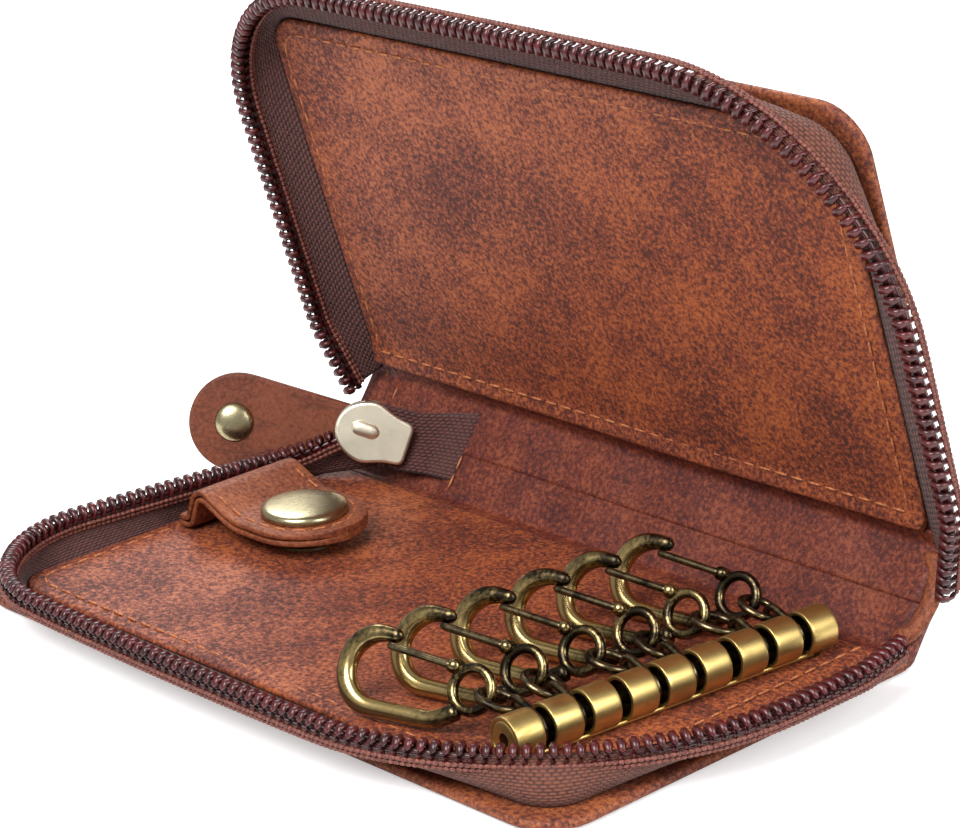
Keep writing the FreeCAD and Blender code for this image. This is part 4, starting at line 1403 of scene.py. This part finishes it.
    def end_patch(self) -> None:
        """Woven patch behind the slider: a line from its mouth to the spine, widened up and down."""
        origin, ahead = self.origin, self.axes[:, 0]
        first, third = origin + ahead * self.patch_ahead, origin - ahead * self.patch_behind
        path = rounded_line([first, origin, third, *self.patch_end], self.patch_radii, 0.6)
        climb = (lengths(path) / lengths(path)[-1])[:, None]
        up = unit(self.axes[:, 2] * (1 - climb) + FOLD.spine_up * climb)
        tall = np.linspace(self.patch_low, 1, 14)
        reach = tall[None] * (self.patch_half + self.patch_growth * climb)
        patch = path[:, None] + up[:, None] * reach[..., None]
        cloth = ZIP.tape(patch, path, tall * self.patch_tall + self.patch_map_start, -1.0)
        add_piece("zip_end_cloth", cloth, self.finishes.tape, "zip_end", ["zip_end_tape"])


@dataclass
class Strap:
    """Closing strap of two leather layers with a snap cap."""

    finishes: Finishes
    y: float = 7.4
    half: float = 8.75
    layer: float = 1.0
    stitch_inset: float = 1.6
    stitch_from: int = 14
    cap_radius: float = 6.2
    cap_top: float = 1.34
    cap_profile: tuple = ((0.5, 1.32), (0.84, 1.24), (0.93, 1.14), (0.98, 0.9), (1.0, 0.5), (1.0, -0.1))
    cap_place: tuple = (-32.6, 7.4, 7.1)
    # Middle line in x and z, and the radii of its bends
    route: tuple = ((-49.9, 4.1), (-47.9, 4.1), (-45.8, 9.4), (-38.5, 6.1), (-23.6, 6.1))
    bends: tuple = (1.15, 1.9, 9.0)

    def path(self) -> Array:
        """Middle line of the strap, with stations that close up like a sine towards the round tip.

        Returns:
            The stations.
        """
        line = rounded_line([[x, self.y, z] for x, z in self.route], self.bends, 0.4)
        start = lengths(line)[-1] - self.half
        tip = start + self.half * np.sin(np.linspace(0, np.pi / 2, 24)[1:])
        return at_places(line, np.concatenate([np.linspace(0, start, 60), tip]))

    def reach(self, path: Array, inset: float = 0.0) -> Array:
        """Half width at each station: sqrt(r^2 - t^2) within the round tip.

        Args:
            path: the stations.
            inset: how far inside the edge.

        Returns:
            Half widths.
        """
        left, least = lengths(path)[-1] - lengths(path), 0.0004
        short = np.clip((self.half - left) / (self.half - inset), 0, 1)
        return (self.half - inset) * np.sqrt(np.clip(1 - short ** 2, least, 1))

    def build(self) -> None:
        """Two layers with rounded raw edges, a row of stitches round the edge, and the cap."""
        path, raised = self.path(), 0.02
        normal = np.cross(unit(np.gradient(path, axis=0)), -DEEP)
        normal = normal * np.sign(normal[-1, 2])
        scale = np.stack([self.reach(path), np.full(len(path), self.layer / 2)], axis=1)
        layers = [sweep(path + normal * (way * self.layer / 2), normal, squarish(40, 1.0, 1.0, 0.3), scale)
                  for way in (-1, 1)]
        add_piece("strap_leather_layers", Surface.join(layers), self.finishes.strap, "strap", ["snap_strap"])
        kept = lengths(path) < lengths(path)[-1] - self.stitch_inset
        row = path[kept] + normal[kept] * (self.layer + raised)
        wide = self.reach(path, self.stitch_inset)[kept][:, None] * DEEP
        edges = (row - wide)[self.stitch_from:], (row + wide)[self.stitch_from:]
        line = np.concatenate([edges[0], edges[1][::-1]])
        add_piece("strap_stitches", stitches(line, UP), self.finishes.thread, "strap")
        cap = domed(self.cap_radius, self.cap_top, self.cap_profile, 64)
        cap = cap.moved(lambda p: p + np.array(self.cap_place))
        add_piece("snap_cap_shell", cap, self.finishes.snap, "strap", ["snap_cap"])


@dataclass
class KeyBar:
    """Slotted brass tube of nine lengths on one web, from which the hooks' loops hang."""

    finishes: Finishes
    radius: float = 3.0
    wall: float = 0.6
    length: float = 51.5
    pitch: float = 5.9
    slot: float = 1.7
    slots: int = 8
    web_drop: float = 2.62
    web_past: float = 2.0
    web_half: tuple = (1.6, 0.36)
    lid: tuple = ((0.1, 0.0), (2.0, 0.0), (2.6, -0.15), (2.7, -0.6), (0.1, -0.6))
    # A dark liner inside the lengths' walls, painted shade so that the bar's hollow shows dark through the
    # slots
    shade_liner_short: float = 0.2
    shade_liner_past: float = 0.12
    shade_liner_wall: float = 0.3

    def build(self) -> None:
        """Nine turned lengths with rounded rims and the web under them, along the loops' common axis, and a
        dark liner inside them as painted shade.
        """
        first, y = joint("loop_swing_1")
        across = unit(np.cross(y, UP))
        axes = np.stack([across, np.cross(y, across), y], axis=1)
        lay = placed(first + y * (self.pitch * (self.slots - 1) / 2), axes)
        middles = (np.arange(self.slots) - (self.slots - 1) / 2) * self.pitch
        starts = np.concatenate([[-self.length / 2], middles + self.slot / 2])
        ends = np.concatenate([middles - self.slot / 2, [self.length / 2]])
        parts = [self.tube(a, b, self.radius, self.wall) for a, b in zip(starts, ends)]
        drop = -self.web_drop * np.sign(axes[2, 1])
        web = np.array([[0, drop, middles[0] - self.web_past], [0, drop, middles[-1] + self.web_past]])
        parts.append(sweep(even(web, 2.0), DEEP, squarish(12, *self.web_half, 0.4)))
        lid = turned(self.lid, 32).moved(lambda p: p + UP * (self.length / 2))
        parts.extend([lid, lid.moved(lambda p: p * np.array([1, 1, -1]))])
        # Painted shade: a dark liner just inside the lengths, so that the slots show dark
        short, radius = self.shade_liner_short, self.radius - self.wall + self.shade_liner_past
        inside = [self.tube(a + short, b - short, radius, self.shade_liner_wall) for a, b in zip(starts, ends)]
        add_piece("key_bar_inside", Surface.join(inside).moved(lay), self.finishes.axle, "lower_half")
        add_piece("key_bar_tube_lengths", Surface.join(parts).moved(lay), self.finishes.bar, "lower_half",
                  ["key_bar_tube"])

    @staticmethod
    def tube(start: float, end: float, radius: float, wall: float) -> Surface:
        """Length of tube: a rounded section of the wall turned about the axis."""
        middle = np.array([radius - wall / 2, (start + end) / 2])
        return turned(squarish(28, wall / 2, (end - start) / 2, 0.25) + middle, 40, closed=True)


@dataclass
class SnapHook:
    """Snap hook with its sprung gate, and the loop and ring that tie it to the bar."""

    number: int
    finishes: Finishes
    bow: float = 4.7
    bow_centre: float = 13.6
    # Where the strand leaves the eye and where it straightens, in the hook's plane
    strand_start: tuple = ((1.0, -2.7), (4.4, -4.7))
    strand_bend: float = 5.0
    strand_half: tuple = (1.15, 1.0)
    nose_back: float = 1.4
    nose_dome: float = 0.8
    taper: float = 0.25
    taper_reach: float = 7.0
    swell: float = 0.16
    swell_back: float = 1.5
    swell_reach: float = 3.0
    lug_ahead: float = 4.05
    lug_across: float = 2.4
    lug_half: float = 1.5
    lug_radius: float = 0.95
    lug_dome: float = 0.6
    arm_start: tuple = (1.6, 1.6, 0.0)
    arm_half: tuple = (0.9, 0.6)
    eye_ahead: float = 1.15
    eye_radius: float = 2.72
    eye_half: float = 0.66
    # How rubbed the metal is at its least, at the lug, and how much more on the bow, then the painted
    # highlight that lightens its upper side and darkens its lower side
    rubbed_least: float = 0.22
    rubbed_lug: float = 0.3
    rubbed_strand: float = 0.24
    rubbed_bow: float = 0.34
    painted_top_highlight: float = 0.1
    loop_reach: float = 4.0
    loop_radius: float = 1.55
    loop_wire: float = 0.5
    ring_wire: float = 0.55
    ring_play: float = 0.1
    gate_tip: tuple = (12.6, 3.3)
    gate_half: float = 1.05
    gate_wire: float = 0.5
    gate_dome: float = 0.4
    # Keeps the two arcs of a half turn from running into each other
    arc_play: float = 0.05

    def __post_init__(self) -> None:
        """Find the hook's axes from its joints: ahead from the eye, across, and square to its plane."""
        self.tag = "_%d" % self.number
        pivot, opening = joint("gate_open" + self.tag)
        self.link = joint("hook_turn" + self.tag)[0]
        self.normal = -opening
        toward = unit(pivot - self.link)
        lean = math.atan2(self.lug_across, self.lug_ahead)
        ahead = toward * math.cos(lean) - np.cross(self.normal, toward) * math.sin(lean)
        axes = np.stack([ahead, np.cross(self.normal, ahead), self.normal], axis=1)
        self.carry = placed(self.link + ahead * self.eye_ahead, axes)

    def add(self, name: str, surface: Surface, material: Material, body: str, replaced: str) -> None:
        """Add one of the hook's pieces under its number."""
        add_piece(name + self.tag, surface, material, body + self.tag, [replaced + self.tag])

    def build(self) -> None:
        """Build the hook's four pieces."""
        self.cast()
        self.spring_gate()
        self.hang()

    def cast(self) -> None:
        """Body: a rounded strand from the eye round the bow to the nose, the eye's ring, and the gate's lug.

        The strand tapers like t^1.5 towards the nose and swells at the bow. The map's second value tells how
        rubbed the metal is, most along the outside of the bow, with a painted highlight on its upper face.
        """
        bow, far = self.bow, self.bow_centre + self.bow
        corners = [*self.strand_start, (far, -bow), (far, bow), (self.gate_tip[0] - self.nose_back, bow)]
        turn = bow - self.arc_play
        path = rounded_line([[x, y, 0] for x, y in corners], [self.strand_bend, turn, turn], 0.5)
        along = lengths(path)
        taper = 1 - self.taper * np.clip(1 - (along[-1] - along) / self.taper_reach, 0, 1) ** 1.5
        beside = (path[:, 0] - far + self.swell_back) / self.swell_reach
        swell = taper * (1 + self.swell * np.exp(-beside ** 2))
        section = squarish(20, *self.strand_half, 0.85)
        rubbed = np.clip(np.sin(np.pi * along / along[-1]), 0, 1) ** 1.5
        # The last term is a painted highlight: lighter on the upper face, darker on the lower one
        wear_and_highlight = self.rubbed_strand + self.rubbed_bow * rubbed[:, None] + self.painted_top_highlight * section[None, :, 1]
        strand = sweep(path, UP, section, swell[:, None] * round_ends(path, self.nose_dome), wear_and_highlight=wear_and_highlight)
        ring = np.concatenate([circle(36, self.eye_radius), np.zeros((36, 1))], axis=1)
        least = np.array(self.rubbed_least)
        eye = sweep(ring, UP, squarish(12, self.eye_half, self.eye_half, 0.75), closed=True, wear_and_highlight=least)
        spot = np.array([self.lug_ahead - self.eye_ahead, self.lug_across, 0])
        post = even(np.array([spot - UP * self.lug_half, spot + UP * self.lug_half]), 0.25)
        lug = sweep(post, ALONG, circle(14, self.lug_radius), round_ends(post, self.lug_dome),
                    wear_and_highlight=np.array(self.rubbed_lug))
        arm = sweep(even(np.array([self.arm_start, spot]), 0.3), UP, squarish(12, *self.arm_half), wear_and_highlight=least)
        body = Surface.join([strand, eye, lug, arm]).moved(self.carry)
        self.add("snap_hook_body", body, self.finishes.hook, "hook", "hook_body")

    def spring_gate(self) -> None:
        """Gate: a hairpin of wire from one side of the lug, round the tip inside the nose, and back."""
        start, tip, half = (self.lug_ahead - self.eye_ahead, self.lug_across), self.gate_tip, self.gate_half
        corners = [[*start, -half], [*tip, -half], [*tip, half], [*start, half]]
        path = rounded_line(corners, [half - self.arc_play] * 2, 0.3)
        wire = sweep(path, DEEP, circle(12, self.gate_wire), round_ends(path, self.gate_dome))
        self.add("snap_hook_gate", wire.moved(self.carry), self.finishes.link, "gate", "hook_gate")

    def hang(self) -> None:
        """Oblong loop round the bar's axle and the ring between it and the hook's eye."""
        link = self.link
        start, y = joint("loop_swing" + self.tag)
        out = link - start
        out = unit(out - y * (out @ y))
        back = arc(self.loop_radius, np.pi / 2, 3 * np.pi / 2, 14)
        front = arc(self.loop_radius, -np.pi / 2, np.pi / 2, 14) + np.array([self.loop_reach, 0])
        flat = np.concatenate([back, front])
        path = start + flat[:, :1] * out + flat[:, 1:] * np.cross(y, out)
        loop = sweep(path, y, circle(10, self.loop_wire), closed=True)
        self.add("hook_wire_loop", loop, self.finishes.link, "loop", "hook_loop")
        first = start + out * (self.loop_reach + self.ring_play)
        span = link - first
        side = self.normal + y
        side = unit(side - span * (side @ span) / (span @ span))
        ring = circle(40, np.linalg.norm(span) / 2)
        path = (first + link) / 2 + ring[:, :1] * unit(span) + ring[:, 1:] * side
        wire = sweep(path, np.cross(unit(span), side), circle(10, self.ring_wire), closed=True)
        self.add("hook_wire_ring", wire, self.finishes.link, "loop", "hook_ring")


def dress_kept_solids(finishes: Finishes) -> None:
    """Give the turned solids that stay as they are their finish.

    Args:
        finishes: the case's finishes.
    """
    # The axle and rivets take the dark brass that stands for painted shade in the bar's slots
    kept = {"key_bar_axle": finishes.axle, "key_bar_rivets": finishes.axle, "snap_stud": finishes.snap,
            "snap_socket": finishes.snap}
    for piece in bpy.data.objects:
        name = piece.name.split(".")[0]
        if piece.type == "MESH" and name in kept:
            piece.data.materials.clear()
            piece.data.materials.append(kept[name])
            LOG.info("%s keeps its solid", piece.name)


# Studio


@dataclass(frozen=True)
class Lamp:
    """Round area lamp: its place and width in metres and its power in watts."""

    name: str
    place: tuple
    size: float
    power: float


@dataclass
class Studio:
    """Pale floor, soft lamps and the camera at the photograph's angle."""

    camera_mm: tuple = (326.8, -287.5, 187.8)
    azimuth: float = 46.9
    elevation: float = 19.2
    roll: float = -2.6
    focal_px: float = 3537.3
    shift_px: tuple = (33.3, -40.8)
    image_wide_px: float = 960.0
    sensor_mm: float = 36.0
    clip_start: float = 0.01
    floor_reach: float = 3.0
    sky: float = 0.44
    aim_height: float = 0.02
    lamps: tuple = (Lamp("key_lamp", (0.12, -0.5, 0.62), 0.5, 7.8),
                    Lamp("side_lamp", (0.62, 0.12, 0.4), 0.45, 3.4),
                    Lamp("back_lamp", (-0.45, 0.35, 0.5), 0.4, 3.0))

    def build(self) -> None:
        """Set the stage."""
        bpy.context.scene.view_settings.view_transform = "Standard"
        self.place_camera()
        self.lay_floor()
        self.light()

    @staticmethod
    def stand(name: str, data: bpy.types.ID, place: Array, right: Array, up: Array) -> bpy.types.Object:
        """Put a camera or lamp into the scene, looking against right crossed with up.

        Args:
            name: its name.
            data: the camera or lamp.
            place: where it stands, in metres.
            right: direction to its right.
            up: direction to its top.

        Returns:
            The new object.
        """
        made = bpy.data.objects.new(name, data)
        turn = Matrix(np.stack([right, up, np.cross(right, up)], axis=1).tolist()).to_4x4()
        made.matrix_world = Matrix.Translation(place.tolist()) @ turn
        bpy.context.scene.collection.objects.link(made)
        return made

    def place_camera(self) -> None:
        """Camera whose axes follow azimuth, elevation and roll."""
        a, e, r = (math.radians(v) for v in (self.azimuth, self.elevation, self.roll))
        right = np.array([math.cos(a), math.sin(a), 0])
        up = np.array([-math.sin(a) * math.sin(e), math.cos(a) * math.sin(e), math.cos(e)])
        data = bpy.data.cameras.new("photo_camera")
        data.sensor_width = self.sensor_mm
        data.sensor_fit = "HORIZONTAL"
        data.lens = self.focal_px / self.image_wide_px * self.sensor_mm
        data.shift_x = -self.shift_px[0] / self.image_wide_px
        data.shift_y = self.shift_px[1] / self.image_wide_px
        data.clip_start = self.clip_start
        rolled = math.cos(r) * right + math.sin(r) * up, -math.sin(r) * right + math.cos(r) * up
        bpy.context.scene.camera = self.stand("photo_camera", data, np.array(self.camera_mm) * MM, *rolled)

    def lay_floor(self) -> None:
        """Wide square of white paper under the object."""
        reach = self.floor_reach
        mesh = bpy.data.meshes.new("floor")
        corners = [(-reach, -reach, 0), (reach, -reach, 0), (reach, reach, 0), (-reach, reach, 0)]
        mesh.from_pydata(corners, [], [(0, 1, 2, 3)])
        mesh.materials.append(WhitePaper("white_paper_floor").build())
        floor = bpy.data.objects.new("floor", mesh)
        bpy.context.scene.collection.objects.link(floor)

    def light(self) -> None:
        """Three large soft lamps aimed just above the floor's middle, and an even pale sky."""
        world = bpy.data.worlds.new("studio")
        world.use_nodes = True
        bpy.context.scene.world = world
        feed(world.node_tree.nodes["Background"], {"Color": linear(1.0), "Strength": self.sky})
        for lamp in self.lamps:
            data = bpy.data.lights.new(lamp.name, "AREA")
            data.shape = "DISK"
            data.size = lamp.size
            data.energy = lamp.power
            back = unit(np.array(lamp.place) - UP * self.aim_height)
            right = unit(np.cross(UP, back))
            self.stand(lamp.name, data, np.array(lamp.place), right, np.cross(back, right))


def main() -> None:
    """Build the studio and every sub-assembly."""
    logging.basicConfig(level=logging.INFO, format="%(name)s: %(message)s")
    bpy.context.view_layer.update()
    finishes = Finishes()
    Studio().build()
    for side in Side:
        Half(side, finishes).build()
    Spine(finishes).build()
    ZipEnd(finishes).build()
    Strap(finishes).build()
    KeyBar(finishes).build()
    for number in range(1, HOOKS + 1):
        SnapHook(number, finishes).build()
    dress_kept_solids(finishes)


if __name__ == "__main__":
    main()
